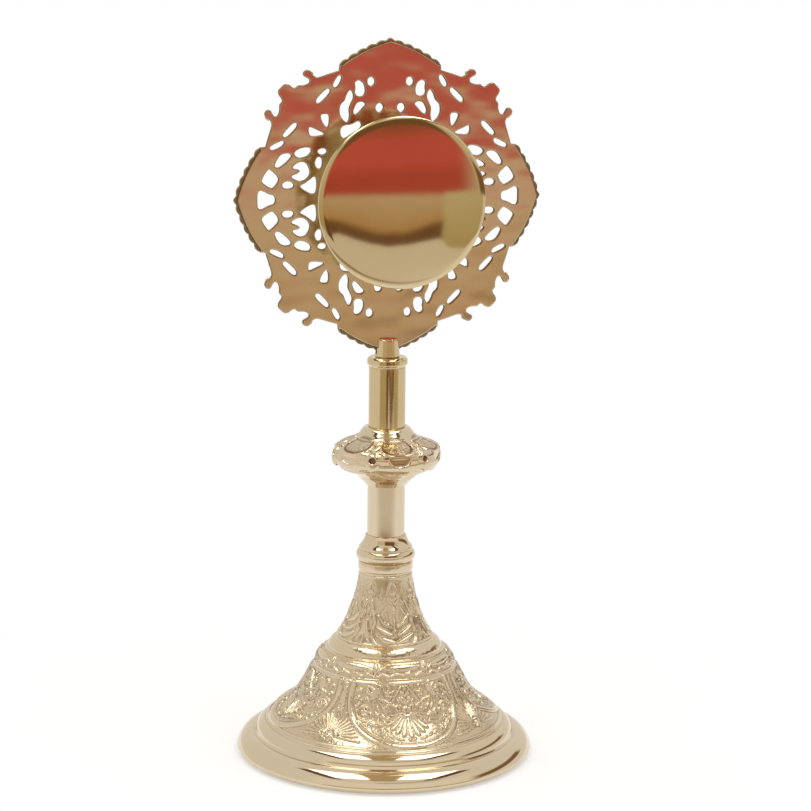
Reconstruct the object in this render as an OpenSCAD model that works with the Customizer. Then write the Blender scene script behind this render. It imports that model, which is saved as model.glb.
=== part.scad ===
/* [Foot] */
// Largest radius of the foot's rim
foot_r = 63.5; // [62:0.5:66]
// Height of the bell, where the cone stands on it
bell_h = 50.8; // [48:0.2:54]
// Height of the cone's flat top above the ground
neck_top = 84; // [82:0.5:88]
// Radius of the cone's top
neck_r = 11.6; // [10.5:0.1:12]
// Wall of the cast bell and cone
foot_wall = 1.8; // [1.2:0.1:2.4]

/* [Stem] */
// Radius of the tie rod
rod_r = 3; // [2.5:0.5:3]
// Radius of the lower tube
lower_tube_r = 8; // [7.5:0.1:8.2]
// Radius of the upper tube
upper_tube_r = 7.75; // [7.5:0.05:8]
// Top of the collar, where the lower tube comes out
collar_top = 95.4; // [94:0.2:97]
// Underside of the knop
knop_bottom = 117; // [115:0.5:118]
// Top of the knop
knop_top = 143; // [142:0.5:145]
// Largest radius of the knop
knop_r = 22.9; // [21:0.1:24]
// Top of the upper tube, under the cap
tube_top = 167.8; // [166:0.2:169]
// Top face of the stem cap
cap_top = 172; // [171:0.2:172.4]
// Radius of the stem cap
cap_r = 8.55; // [8.2:0.05:9]

/* [Rosette] */
// Height of the rosette's centre above the ground
plate_z = 239; // [239:0.5:242]
// Distance from the centre to a lobe's tip
tip_r = 66; // [65:0.5:66]
// Thickness of the plate
plate_t = 2; // [1.5:0.1:2.2]
// Lumps along one half of a lobe, the tip's own half included
scallops = 5.5; // [3.5:1:6.5]
// Height of a lump
scallop_h = 0.7; // [0.3:0.1:1]

/* [Capsule] */
// Outer radius of the drum
drum_r = 28.5; // [28:0.1:28.6]
// Wall of the drum
drum_wall = 1.5; // [1.2:0.1:1.8]
// Distance from the plate's middle to the drum's mouth
mouth = 20.5; // [19:0.5:24]
// Outer radius of the front bezel
bezel_r = 30.2; // [30:0.1:30.4]
// Thickness of the window glass
glass_t = 1.6; // [1.2:0.2:2]

/* [Lid] */
// Radius of the back lid
lid_r = 35.5; // [33:0.5:37]
// Thickness of the lid's rounded edge
lid_edge = 2; // [1.6:0.2:2.4]
// Height of the lid's crown over its edge
lid_crown = 3; // [2:0.5:4]
// Length of the friction sleeve
sleeve_l = 9; // [7:0.5:10]
// Radial clearance between sleeve and drum
sleeve_gap = 0.06; // [0.04:0.01:0.1]

/* [Hidden] */
$fn = 96;
brass = "#d4be96";
rod_hole = rod_r + 0.3;
web_t = 2.2;
cone_top_t = 4;
washer_r = 9;
washer_t = 1.5;
nut_h = 5;
nut_flat = 10;
rod_below_nut = 3;
rod_in_cap = 5;
steel = "#a8a8a4";
nut_brass = "#b9a36f";
washer_top = bell_h - web_t;
nut_top = washer_top - washer_t;
seat = 3;
tube_bore = 6.6;
knop_bore = 6;
fit = 0.05;
plug_bottom = tube_top - 15.8;
spigot_r = 4;
spigot_bottom = cap_top - 13;
socket_bottom = spigot_bottom - 1;
stub_bottom = cap_top + fit;
stub_top = 179.8;
slot_bottom = plate_z - tip_r;
bore_r = drum_r - drum_wall;
face = plate_t / 2;
drum_front = face + 1.4;
gasket_t = 0.5;
glass_back = drum_front + gasket_t;
bezel_lip = glass_back + glass_t;
bezel_front = bezel_lip + 1.2;
bezel_in = 24.6;
shoulder_w = 1.3;
shoulder_t = 1.6;
lid_seat = mouth + fit;
sleeve_r = bore_r - sleeve_gap;
sleeve_wall = 0.8;
sleeve_front = lid_seat - sleeve_l;
board_t = 1;
pad_t = 5.5;
lid_pocket_r = sleeve_r - sleeve_wall - 0.3;

// A bowed line from p to q, whose middle stands s to the left of the way
function bow(p, q, s, n = 8) = [for (k = [0:n])
    let (t = k / n, d = q - p, side = [-d[1], d[0]] / norm(d)) p + d * t + side * (4 * t * (1 - t) * s)];

// One point of a smooth curve between b and c
function curve(a, b, c, d, t) = 0.5 * (2 * b + (c - a) * t + (2 * a - 5 * b + 4 * c - d) * t * t
    + (3 * b - a - 3 * c + d) * t * t * t);

// A smooth closed curve through the points p
function closed_curve(p, n = 3) = [for (i = [0:len(p) - 1], k = [0:n - 1])
    let (m = len(p)) curve(p[(i + m - 1) % m], p[i], p[(i + 1) % m], p[(i + 2) % m], k / n)];

// A smooth open curve through the points p
function open_curve(p, n = 3) = [for (i = [0:len(p) - 2], k = [0:i == len(p) - 2 ? n : n - 1])
    let (last = len(p) - 1) curve(p[max(i - 1, 0)], p[i], p[i + 1], p[min(i + 2, last)], k / n)];

function backwards(p) = [for (i = [len(p) - 1:-1:0]) p[i]];
function without_first(p) = [for (i = [1:len(p) - 1]) p[i]];
function without_last(p) = [for (i = [0:len(p) - 2]) p[i]];
function swapped(p) = [for (q = p) [q[1], q[0]]];
function turned(p, sx, sy) = [for (q = p) [q[0] * sx, q[1] * sy]];

// Foot outlines, as radius and height
bell_ogee = [[50.2, 15], [47, 18], [43, 20.8], [39, 24], [36.2, 28], [33.8, 32.4], [31.9, 36], [30.4, 38.6]];
bell_outer = concat(
    bow([foot_r - 3.2, 0], [foot_r, 2.4], -0.5, 4),
    bow([foot_r, 3], [56.2, 9], -1.5),
    [[55.6, 9.2]],
    bow([55.3, 9.6], [51, 14.4], -0.9),
    [[50.4, 14.8]],
    open_curve(bell_ogee),
    bow([30.2, 38.8], [25.2, 46], -0.9),
    [[24.6, 46.4]],
    bow([24.5, 46.8], [20.9, bell_h - 0.2], -0.5),
    [[20.4, bell_h]]);
bell_inner = [[18.8, washer_top], [22.6, 45], [28, 38.2], [30, 35], [34.2, 27.4], [37.2, 23.2], [41, 19.6],
    [48, 14], [53, 8.2], [57, 4.2], [57, 0]];
neck_outer = concat(
    bow([20.4, bell_h], [14.1, 65], 0.8),
    bow([14.1, 65.2], [neck_r, 78.4], 0.4),
    [[neck_r - 0.5, 79.2], [neck_r - 0.5, 79.8], [neck_r, 80.4], [neck_r, neck_top]]);
neck_inner = [[neck_r - foot_wall, neck_top - cone_top_t], [neck_r - foot_wall, 75], [12, 65], [14.6, 58],
    [18.2, bell_h]];

// Knop outline, as radius and height, with its bosses left off
knop_waist = open_curve([[8.6, knop_bottom], [10, 118.8], [12.2, 120.6], [16, 122.6], [20, 125],
    [21.6, 127.6], [21.8, 130.4], [21, 133.6], [17, 136], [13.4, 138], [11.8, 139.8], [10.2, 141.6],
    [8.4, knop_top]]);
knop_lobes = 6;
boss_r = 6;
boss_z = 129.6;
boss_edge = 1.4;

// Rosette outline from a lobe's tip to the corner of the leaf between two lobes
lobe_corner = [22, 55.4];
leaf_edge = [[21.8, 52.6], [26.5, 51.2], [30.4, 50], [32.4, 50.6], [33.5, 52.3], [35.2, 53], [36.7, 52.1],
    [36.7, 50.6], [35.4, 49.8], [34.2, 48.9], [34.5, 47.6], [36.4, 46.8], [38.8, 46.7], [40.2, 45.7],
    [41.4, 46], [42.8, 47], [44.6, 47.2], [46, 46]];
lobe_arc_r = 60;
lobe_chord = lobe_corner - [0, tip_r];
lobe_mid = (lobe_corner + [0, tip_r]) / 2;
lobe_side = [lobe_chord[1], -lobe_chord[0]] / norm(lobe_chord);
lobe_centre = lobe_mid + lobe_side * sqrt(pow(lobe_arc_r, 2) - pow(norm(lobe_chord) / 2, 2));
lobe_a0 = atan2(tip_r - lobe_centre[1], -lobe_centre[0]);
lobe_a1 = atan2(lobe_corner[1] - lobe_centre[1], lobe_corner[0] - lobe_centre[0]);
scallop_steps = 6 * scallops;
lobe_edge = [for (k = [0:scallop_steps])
    let (s = k / scallop_steps, a = lobe_a0 + (lobe_a1 - lobe_a0) * s,
        r = lobe_arc_r - scallop_h * (1 - abs(cos(180 * scallops * s))))
    lobe_centre + r * [cos(a), sin(a)]];
eighth = concat(lobe_edge, open_curve(leaf_edge));
quarter = concat(eighth, without_first(backwards(swapped(eighth))));
rosette = concat(quarter,
    without_first(backwards(turned(quarter, 1, -1))),
    without_first(turned(quarter, -1, -1)),
    without_last(without_first(backwards(turned(quarter, -1, 1)))));

// Openings of one quarter: leaf openings first, then the upper lobe's, then the side lobe's
leaf_holes = [
    [[23.8, 45.8], [22.2, 46.6], [20.8, 49.4], [21.4, 50.6], [22.6, 50], [24.2, 47.2]],
    [[31.2, 39.6], [29.4, 39.9], [26, 43.4], [25.8, 45], [27.2, 45], [31, 41.4]],
    [[26.2, 34.6], [28.8, 34.8], [29.4, 33.6], [28.2, 31], [26.8, 29.6], [26, 31.4]],
    [[34.2, 29.6], [34.2, 26.8], [32.6, 26], [28.6, 26.4], [28.4, 27.2], [31.4, 28.6]],
    [[39.6, 31.2], [39.9, 29.4], [43.4, 26], [45, 25.8], [45, 27.2], [41.4, 31]],
    [[45.6, 24.2], [45.2, 22.6], [48.2, 20.8], [50.4, 20.6], [50.4, 22]]];
upper_holes = [
    [[8.2, 46.3], [9.6, 47.2], [9.6, 49], [8.4, 49.9], [7, 49.2], [6.8, 47.4]],
    [[11.6, 42.4], [13.8, 42.2], [15, 43.6], [14.8, 45.6], [15, 47.6], [13.6, 48.6], [11.8, 47.6], [11, 46],
        [10.8, 44]],
    [[18.2, 31.6], [20, 32.6], [21.4, 35.2], [21.2, 38.4], [19.4, 40.4], [18.6, 42.6], [17.2, 44.6],
        [16, 43.4], [15.8, 41.4], [16.6, 39.6], [17.6, 37], [17.4, 34]],
    [[15, 34.8], [15.6, 36.2], [14.2, 39.2], [12, 39.8], [10.6, 38.8], [11.6, 37.6], [13.6, 35.4]],
    [[3, 37], [4.6, 35.4], [6.2, 36.8], [5.8, 38.6], [4.6, 39.2], [3.4, 38.6]],
    [[12.4, 29.8], [13.6, 28.4], [16.6, 26.6], [19.4, 25], [20.8, 26], [21, 28.4], [19.6, 30], [16.4, 30.6],
        [13.8, 31.8], [12.6, 31.2]]];
side_holes = [
    [[47.2, 8.6], [49.2, 5.2], [51, 5.2], [54, 7.4], [53.6, 9.4], [51.6, 12.2], [50.2, 12]],
    [[48.6, 13.8], [48.4, 15.2], [46.4, 18.2], [43.6, 19], [41.9, 18.2], [42.6, 16.8], [45.2, 14.4],
        [47.4, 13.2]],
    [[40.4, 18.6], [39.8, 20], [37, 21.2], [34.2, 21.2], [33.6, 19.6], [35.4, 17.8], [38.6, 17.2]],
    [[40.8, 5.6], [42.4, 4.6], [44.8, 4.8], [45.6, 6.2], [44.2, 7.4], [41.8, 7.2]],
    [[41.2, 8.8], [38.2, 7.6], [35.4, 8.6], [34, 11.2], [35.4, 14.6], [38, 15.4], [40.6, 14], [41, 12.8],
        [39, 12.4], [38.2, 11.6], [39.4, 10.6], [41.4, 9.8]],
    [[38, 5.3], [34.6, 2.9], [32, 2.4], [31.2, 4.4], [31.2, 8], [32.2, 9.3], [33.8, 8.2], [36.2, 6.5]],
    [[28.8, 15.8], [29.2, 13], [30.8, 12.8], [31.8, 14.8], [31, 17], [29.6, 17.2]],
    [[27, 19.2], [28.4, 18.4], [30, 18.7], [30.6, 20], [28.8, 20.9], [27.2, 20.4]]];
axis_hole = [[48.9, 1.4], [51.4, 2.4], [54.4, 3.8], [55.8, 3], [56, 0], [55.8, -3], [54.4, -3.8],
    [51.4, -2.4], [48.9, -1.4]];

// Puts a shape on the capsule's axis, with its own +Z pointing out of the back
module on_capsule() {
    translate([0, 0, plate_z]) rotate([90, 0, 0]) children();
}

// A flat ring from height a to height b
module ring(outer, inner, a, b) {
    difference() {
        translate([0, 0, a]) cylinder(r = outer, h = b - a);
        translate([0, 0, a - 1]) cylinder(r = inner, h = b - a + 2);
    }
}

// Bell foot, open below, with a flat edge to stand on and a flat web under the cone
module foot_bell() {
    color(brass) difference() {
        rotate_extrude() polygon(concat(bell_outer, [[0, bell_h], [0, washer_top]], bell_inner));
        translate([0, 0, washer_top - 1]) cylinder(r = rod_hole, h = web_t + 2);
    }
}

// Hollow cone between the bell and the collar
module foot_neck() {
    color(brass) difference() {
        rotate_extrude() polygon(concat(neck_outer, [[0, neck_top], [0, neck_top - cone_top_t]], neck_inner));
        translate([0, 0, neck_top - cone_top_t - 1]) cylinder(r = rod_hole, h = cone_top_t + 2);
    }
}

// Washer under the bell's web
module foot_washer() {
    color(nut_brass) ring(washer_r, rod_hole, nut_top, washer_top);
}

// Hexagon nut on the rod
module foot_nut() {
    color(nut_brass) difference() {
        translate([0, 0, nut_top - nut_h]) cylinder(d = nut_flat / cos(30), h = nut_h, $fn = 6);
        translate([0, 0, nut_top - nut_h - 1]) cylinder(r = rod_r, h = nut_h + 2);
    }
}

// Rod from the nut up into the stem cap
module tie_rod() {
    rod_bottom = nut_top - nut_h - rod_below_nut;
    rod_top = plug_bottom + rod_in_cap;
    color(steel) translate([0, 0, rod_bottom]) cylinder(r = rod_r, h = rod_top - rod_bottom);
}

// Turned collar with a bead, socketed for the lower tube
module stem_collar() {
    collar = concat([[11.2, neck_top]], bow([11.7, neck_top + 0.4], [11.7, neck_top + 4.8], -0.9),
        [[11.4, neck_top + 5.2], [11.4, neck_top + 6]],
        [[8.8, collar_top - 0.6], [8.3, collar_top], [0, collar_top], [0, neck_top]]);
    color(brass) difference() {
        rotate_extrude() polygon(collar);
        translate([0, 0, neck_top - 1]) cylinder(r = rod_hole, h = 20);
        translate([0, 0, collar_top - seat]) cylinder(r = lower_tube_r + fit, h = seat + 1);
    }
}

// Plain tube, seated at both ends
module lower_stem_tube() {
    color(brass) ring(lower_tube_r, tube_bore, collar_top - seat, knop_bottom + seat);
}

// Cast knop with six bosses, socketed for both tubes
module knop() {
    color(brass) difference() {
        union() {
            rotate_extrude() polygon(concat(knop_waist, [[0, knop_top], [0, knop_bottom]]));
            for (i = [0:knop_lobes - 1]) rotate([0, 0, i * 360 / knop_lobes - 90]) translate([0, 0, boss_z])
                rotate([0, 90, 0]) {
                    cylinder(r = boss_r, h = knop_r - boss_edge);
                    translate([0, 0, knop_r - boss_edge])
                        cylinder(r1 = boss_r, r2 = boss_r - boss_edge, h = boss_edge);
                }
        }
        translate([0, 0, knop_bottom - 1]) cylinder(r = knop_bore, h = knop_top - knop_bottom + 2);
        translate([0, 0, knop_bottom - 1]) cylinder(r = lower_tube_r + fit, h = seat + 1);
        translate([0, 0, knop_top - seat]) cylinder(r = upper_tube_r + fit, h = seat + 1);
    }
}

// Plain tube between the knop and the cap
module upper_stem_tube() {
    color(brass) ring(upper_tube_r, tube_bore, knop_top - seat, tube_top);
}

// Cap plugged into the upper tube, threaded for the rod and bored for the head's spigot
module stem_cap() {
    cap = [[0, plug_bottom], [tube_bore - fit, plug_bottom], [tube_bore - fit, tube_top],
        [upper_tube_r + 0.1, tube_top], [upper_tube_r + 0.1, tube_top + 0.5], [cap_r - 0.3, tube_top + 0.9],
        [cap_r, tube_top + 1.3], [cap_r, cap_top - 1], [cap_r - 0.8, cap_top], [0, cap_top]];
    color(brass) difference() {
        rotate_extrude() polygon(cap);
        translate([0, 0, plug_bottom - 1]) cylinder(r = rod_r, h = 30);
        translate([0, 0, socket_bottom]) cylinder(r = spigot_r + fit, h = 30);
    }
}

// Spigot and slotted stub that carries the plate
module head_ferrule() {
    stub = [[0, spigot_bottom], [spigot_r - 0.4, spigot_bottom], [spigot_r, spigot_bottom + 0.4],
        [spigot_r, stub_bottom], [5.2, stub_bottom], [4.7, stub_top - 0.6], [4.2, stub_top], [0, stub_top]];
    color(brass) difference() {
        rotate_extrude() polygon(stub);
        translate([-10, -plate_t / 2, slot_bottom]) cube([20, plate_t, 20]);
    }
}

// Pierced plate with four scalloped lobes and four leaves
module rosette_plate() {
    color(brass) on_capsule() difference() {
        translate([0, 0, -plate_t / 2]) linear_extrude(height = plate_t) difference() {
            polygon(rosette);
            for (sx = [0, 1], sy = [0, 1]) mirror([sx, 0]) mirror([0, sy])
                for (hole = concat(leaf_holes, upper_holes, side_holes)) polygon(closed_curve(hole));
            for (sx = [0, 1]) mirror([sx, 0]) polygon(closed_curve(axis_hole));
        }
        translate([0, 0, -plate_t]) cylinder(r = drum_r, h = 2 * plate_t);
    }
}

// Case of the capsule, with a shoulder behind the plate
module capsule_drum() {
    color(brass) on_capsule() difference() {
        union() {
            translate([0, 0, -drum_front]) cylinder(r = drum_r, h = drum_front + mouth);
            translate([0, 0, face]) cylinder(r = drum_r + shoulder_w, h = shoulder_t);
        }
        translate([0, 0, -drum_front - 1]) cylinder(r = bore_r, h = drum_front + mouth + 2);
    }
}

// Ring that clamps the glass and the plate from the front
module front_bezel() {
    bezel = concat([[drum_r, -face], [bezel_r, -face]],
        bow([bezel_r, -bezel_lip + 0.4], [bezel_r - 1.4, -bezel_front], -0.3, 4),
        bow([bezel_r - 2.6, -bezel_front], [bezel_in, -bezel_lip - 0.4], 0.3, 4),
        [[bezel_in, -bezel_lip], [drum_r, -bezel_lip]]);
    color(brass) on_capsule() rotate_extrude() polygon(bezel);
}

// Round window
module window_glass() {
    color("#e8f0ee") on_capsule() translate([0, 0, -bezel_lip]) cylinder(r = drum_r - 0.3, h = glass_t);
}

// Soft ring between the drum's front edge and the glass
module glass_gasket() {
    color("#3a3632") on_capsule() ring(drum_r - 0.3, bore_r - 1, -glass_back, -drum_front);
}

// Domed back lid with a rounded edge and a shallow pocket inside
module back_lid() {
    edge = lid_edge / 2;
    rim = [for (k = [0:6]) let (a = -90 + 30 * k)
        [lid_r - edge + edge * cos(a), lid_seat + edge + edge * sin(a)]];
    dome_top = lid_seat + lid_edge + lid_crown;
    dome = bow([lid_r - edge - 0.1, lid_seat + lid_edge], [0, dome_top], -0.9, 14);
    pocket = [[0, dome_top - 1.4], [lid_pocket_r, lid_seat + 1.2], [lid_pocket_r, lid_seat]];
    color(brass) on_capsule() rotate_extrude() polygon(concat(rim, dome, pocket));
}

// Friction sleeve that stands on the lid's inner face
module lid_sleeve() {
    color(brass) on_capsule() ring(sleeve_r, sleeve_r - sleeve_wall, sleeve_front, lid_seat);
}

// Card disc in the sleeve's front end
module pad_board() {
    color("#8a7357") on_capsule() translate([0, 0, sleeve_front])
        cylinder(r = sleeve_r - sleeve_wall - fit, h = board_t);
}

// Covered pad with a crown and drawn-in sides
module relic_pad() {
    pad_r = sleeve_r - sleeve_wall - 1;
    pad = concat([[0, sleeve_front], [pad_r - 1.2, sleeve_front]],
        bow([pad_r - 1.2, sleeve_front], [pad_r - 2, sleeve_front - 3.6], -1.1, 6),
        bow([pad_r - 2.6, sleeve_front - 3.9], [0, sleeve_front - pad_t], -0.5, 8));
    color("#7d1f2b") on_capsule() rotate_extrude() polygon(pad);
}

foot_bell();
foot_neck();
foot_washer();
foot_nut();
tie_rod();
stem_collar();
lower_stem_tube();
knop();
upper_stem_tube();
stem_cap();
head_ferrule();
rosette_plate();
capsule_drum();
front_bezel();
window_glass();
glass_gasket();
back_lid();
lid_sleeve();
pad_board();
relic_pad();
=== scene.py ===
# %% [markdown]
# # A standing brass reliquary
# The object is a pierced brass rosette on a knopped stem and an embossed bell foot. A round capsule goes
# through the rosette, with a window in front and a domed lid behind.

# %% Load the frame
import math

import bpy
import numpy as np
from mathutils import Matrix


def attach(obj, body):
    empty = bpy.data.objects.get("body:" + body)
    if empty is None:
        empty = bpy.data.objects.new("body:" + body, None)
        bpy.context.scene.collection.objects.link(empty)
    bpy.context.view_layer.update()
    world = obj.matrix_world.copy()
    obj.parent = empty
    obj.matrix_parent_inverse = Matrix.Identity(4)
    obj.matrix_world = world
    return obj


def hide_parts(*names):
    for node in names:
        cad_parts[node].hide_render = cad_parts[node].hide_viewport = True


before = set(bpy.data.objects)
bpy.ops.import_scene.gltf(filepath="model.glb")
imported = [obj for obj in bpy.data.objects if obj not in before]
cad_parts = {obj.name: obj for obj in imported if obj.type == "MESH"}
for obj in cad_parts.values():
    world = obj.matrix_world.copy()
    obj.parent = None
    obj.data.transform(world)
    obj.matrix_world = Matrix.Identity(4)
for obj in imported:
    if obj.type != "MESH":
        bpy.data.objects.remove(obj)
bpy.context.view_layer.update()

MM = 0.001

# %% [markdown]
# ## The camera
# The picture was taken with a long lens from a little above the knop, fifteen degrees to one side of the
# lid's axis, and very slightly rolled. A small sideways shift puts the stem left of the middle of the frame.

# %% Camera
IMAGE_WIDTH = 811
FOCAL_PIXELS = 2490
STEM_PIXEL = 387
SIDE_TURN = math.radians(-15)
LOOK_DOWN = math.radians(10.9)
ROLL = math.radians(0.55)
DISTANCE, CAMERA_HEIGHT = 1.034, 0.350

lens = bpy.data.cameras.new("photo_view")
lens.sensor_width = 36
lens.lens = FOCAL_PIXELS * lens.sensor_width / IMAGE_WIDTH
lens.shift_x = (IMAGE_WIDTH / 2 - STEM_PIXEL) / IMAGE_WIDTH
camera = bpy.data.objects.new("photo_view", lens)
bpy.context.scene.collection.objects.link(camera)
stand_at = (DISTANCE * math.sin(SIDE_TURN), -DISTANCE * math.cos(SIDE_TURN), CAMERA_HEIGHT)
camera.matrix_world = (Matrix.Translation(stand_at) @ Matrix.Rotation(SIDE_TURN, 4, "Z")
                       @ Matrix.Rotation(math.pi / 2 - LOOK_DOWN, 4, "X") @ Matrix.Rotation(ROLL, 4, "Z"))
bpy.context.scene.camera = camera
bpy.context.scene.view_settings.view_transform = "Standard"
print("lens, mm:", round(lens.lens, 1))

# %% [markdown]
# ## Small tools for materials
# Colours are written as sRGB hex values, as a colour picker shows them, and turned to linear light once.
# One function adds a node: its inputs are numbers, colours or another node's output. Another starts an empty
# material.


# %% Material tools
def linear(hex_colour):
    """The linear colour of an sRGB hex value."""
    parts = [int(hex_colour[i:i + 2], 16) / 255 for i in (1, 3, 5)]
    return [p / 12.92 if p <= 0.04045 else ((p + 0.055) / 1.055) ** 2.4 for p in parts] + [1]


def add(tree, kind, inputs=None, **settings):
    """A node of this kind. An input is a value, or a pair of node and output name."""
    node = tree.nodes.new("ShaderNode" + kind)
    for key, value in settings.items():
        setattr(node, key, value)
    for key, value in (inputs or {}).items():
        if isinstance(value, tuple) and isinstance(value[0], bpy.types.Node):
            tree.links.new(value[0].outputs[value[1]], node.inputs[key])
        else:
            node.inputs[key].default_value = value
    return node


def new_finish(name):
    """An empty material with its output, and its node tree."""
    finish = bpy.data.materials.new(name)
    finish.use_nodes = True
    finish.node_tree.nodes.clear()
    return finish, finish.node_tree


# %% [markdown]
# ## Polished brass
# Cast brass that was buffed on a wheel and lacquered. Buffing leaves soft waves in the surface, 6 to 14 mm
# long on smooth pieces and about 1 mm in the relief, which make reflections wander. Its hairlines are far
# finer than the picture shows, so they are drawn at 0.5 mm. Lacquer keeps the colour pale, and thin places
# of it look a little warmer. An attribute named ground marks what the wheel didn't reach, which is rougher,
# and where the colour is darkened: as painted shade in the relief's hollows and chased lines, the knop's
# sunk parts and pits, and the plate's rims, and as cast skin on the back of the plate's border.

# %% Brass
STAND_BRASS, HEAD_BRASS = ("#DAC9AE", "#D5C39F"), ("#D6C29A", "#CFB789")
PLATE_BRASS = ("#E6DAC0", "#DECDAA")
# Painted shade: the darker colours of relief hollows and chased lines, the knop's hollows, and the plate's rims.
# The border's back is darker cast skin as well.
CHASED_SHADE, KNOP_HOLLOW_SHADE, RIM_SHADE, CAST_SKIN_AND_RIM_SHADE = "#9A8258", "#6E4628", "#5E4826", "#94805A"
CLOUD_MM, HAIRLINE_MM = 25, 0.5


def brass(name, tones, rough, wave_mm, wave_strength, wave_stretch=1.0, ground=None, ground_share=0.9,
          ground_rough=0.35):
    """Brass with buffing waves of this length, stretched level, and unpolished where its ground is 1: rougher
    there, and darkened towards the ground colour, which paints shade into hollows and rims.
    """
    finish, tree = new_finish(name)
    place = add(tree, "TexCoord")
    cloud = add(tree, "TexNoise", {"Vector": (place, "Object"), "Scale": 1 / (CLOUD_MM * MM), "Detail": 3.0})
    warm = add(tree, "MapRange", {"Value": (cloud, "Fac"), "From Min": 0.4, "From Max": 0.75, "To Max": 0.6})
    tone = add(tree, "Mix", {"Factor": (warm, "Result"), "A": linear(tones[0]), "B": linear(tones[1])},
               data_type="RGBA")
    colour = (tone, "Result")
    # Painted shade: where the ground attribute is 1 the colour goes towards the darker ground colour.
    if ground:
        depth = add(tree, "Attribute", attribute_name="ground")
        share = add(tree, "Math", {0: (depth, "Fac"), 1: ground_share}, operation="MULTIPLY")
        aged = add(tree, "Mix", {"Factor": (share, "Value"), "A": colour, "B": linear(ground)}, data_type="RGBA")
        colour = (aged, "Result")
    level = add(tree, "Mapping", {"Vector": (place, "Object"), "Scale": (1 / wave_stretch, 1, 1)})
    waves = add(tree, "TexNoise", {"Vector": (level, "Vector"), "Scale": 1 / (wave_mm * MM), "Detail": 1.0})
    lines = add(tree, "TexNoise", {"Vector": (place, "Object"), "Scale": 1 / (HAIRLINE_MM * MM), "Detail": 2.0})
    dull = add(tree, "MapRange", {"Value": (lines, "Fac"), "To Min": rough * 0.7, "To Max": rough * 1.5})
    if ground:
        dull = add(tree, "MapRange", {"Value": (depth, "Fac"), "To Min": (dull, "Result"),
                                      "To Max": ground_rough})
    buffed = add(tree, "Bump", {"Height": (waves, "Fac"), "Strength": wave_strength, "Distance": 1 * MM})
    shader = add(tree, "BsdfPrincipled", {"Base Color": colour, "Metallic": 1.0, "Normal": (buffed, "Normal"),
                                          "Roughness": (dull, "Result")})
    add(tree, "OutputMaterial", {"Surface": (shader, "BSDF")})
    return finish


turned_brass = brass("brass_turned_polished", STAND_BRASS, 0.07, 9, 0.02)
embossed_brass = brass("brass_embossed_lacquered", STAND_BRASS, 0.14, 1.2, 0.12, ground=CHASED_SHADE,
                       ground_share=0.6, ground_rough=0.4)
knop_brass = brass("brass_cast_lacquered", STAND_BRASS, 0.09, 6, 0.03, ground=KNOP_HOLLOW_SHADE, ground_share=0.85)
tube_brass = brass("brass_drawn_polished", HEAD_BRASS, 0.08, 9, 0.02)
satin_brass = brass("brass_drawn_satin", PLATE_BRASS, 0.3, 9, 0.02)
plate_brass = brass("brass_cast_polished", PLATE_BRASS, 0.13, 12, 0.4, wave_stretch=1.6, ground=RIM_SHADE)
border_brass = brass("brass_cast_rough", PLATE_BRASS, 0.12, 8, 0.12, ground=CAST_SKIN_AND_RIM_SHADE, ground_rough=0.55)
lid_brass = brass("brass_spun_polished", HEAD_BRASS, 0.07, 14, 0.03)
print("brass finishes: 8")

# %% [markdown]
# ## The other materials
# Zinc plated steel for the rod and its nut, window glass, black rubber, grey-brown card, and a wine red
# velvet. Light that falls through the glass on other things passes straight, which saves Cycles from noise.
# Velvet is a short upright pile: it is dark seen straight on and light at its edges, which is what the sheen
# gives, and its pile is drawn at 0.6 mm.

# %% Steel, glass, rubber, card and velvet
zinc_steel, tree = new_finish("steel_zinc_plated")
place = add(tree, "TexCoord")
spots = add(tree, "TexNoise", {"Vector": (place, "Object"), "Scale": 1 / (1.5 * MM), "Detail": 4.0})
dull = add(tree, "MapRange", {"Value": (spots, "Fac"), "To Min": 0.22, "To Max": 0.45})
tone = add(tree, "Mix", {"Factor": (spots, "Fac"), "A": linear("#B9B4A6"), "B": linear("#D2CCBA")},
           data_type="RGBA")
shader = add(tree, "BsdfPrincipled", {"Base Color": (tone, "Result"), "Metallic": 1.0,
                                      "Roughness": (dull, "Result")})
add(tree, "OutputMaterial", {"Surface": (shader, "BSDF")})

clear_glass, tree = new_finish("glass_window_float")
place = add(tree, "TexCoord")
drawn = add(tree, "TexNoise", {"Vector": (place, "Object"), "Scale": 1 / (30 * MM), "Detail": 0.0})
waved = add(tree, "Bump", {"Height": (drawn, "Fac"), "Strength": 0.02, "Distance": 1 * MM})
shader = add(tree, "BsdfPrincipled", {"Base Color": linear("#F6FBF9"), "Roughness": 0.02, "IOR": 1.5,
                                      "Transmission Weight": 1.0, "Normal": (waved, "Normal")})
ray = add(tree, "LightPath")
lit = add(tree, "Math", {0: (ray, "Is Shadow Ray"), 1: (ray, "Is Diffuse Ray")}, operation="MAXIMUM")
pane = add(tree, "BsdfTransparent", {"Color": linear("#F6FBF9")})
both = add(tree, "MixShader", {0: (lit, "Value"), 1: (shader, "BSDF"), 2: (pane, "BSDF")})
add(tree, "OutputMaterial", {"Surface": (both, "Shader")})

black_rubber, tree = new_finish("rubber_moulded_black")
place = add(tree, "TexCoord")
skin = add(tree, "TexNoise", {"Vector": (place, "Object"), "Scale": 1 / (0.8 * MM), "Detail": 3.0})
grain = add(tree, "Bump", {"Height": (skin, "Fac"), "Strength": 0.2, "Distance": 0.1 * MM})
shader = add(tree, "BsdfPrincipled", {"Base Color": linear("#2E2A27"), "Roughness": 0.65,
                                      "Normal": (grain, "Normal")})
add(tree, "OutputMaterial", {"Surface": (shader, "BSDF")})

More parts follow.
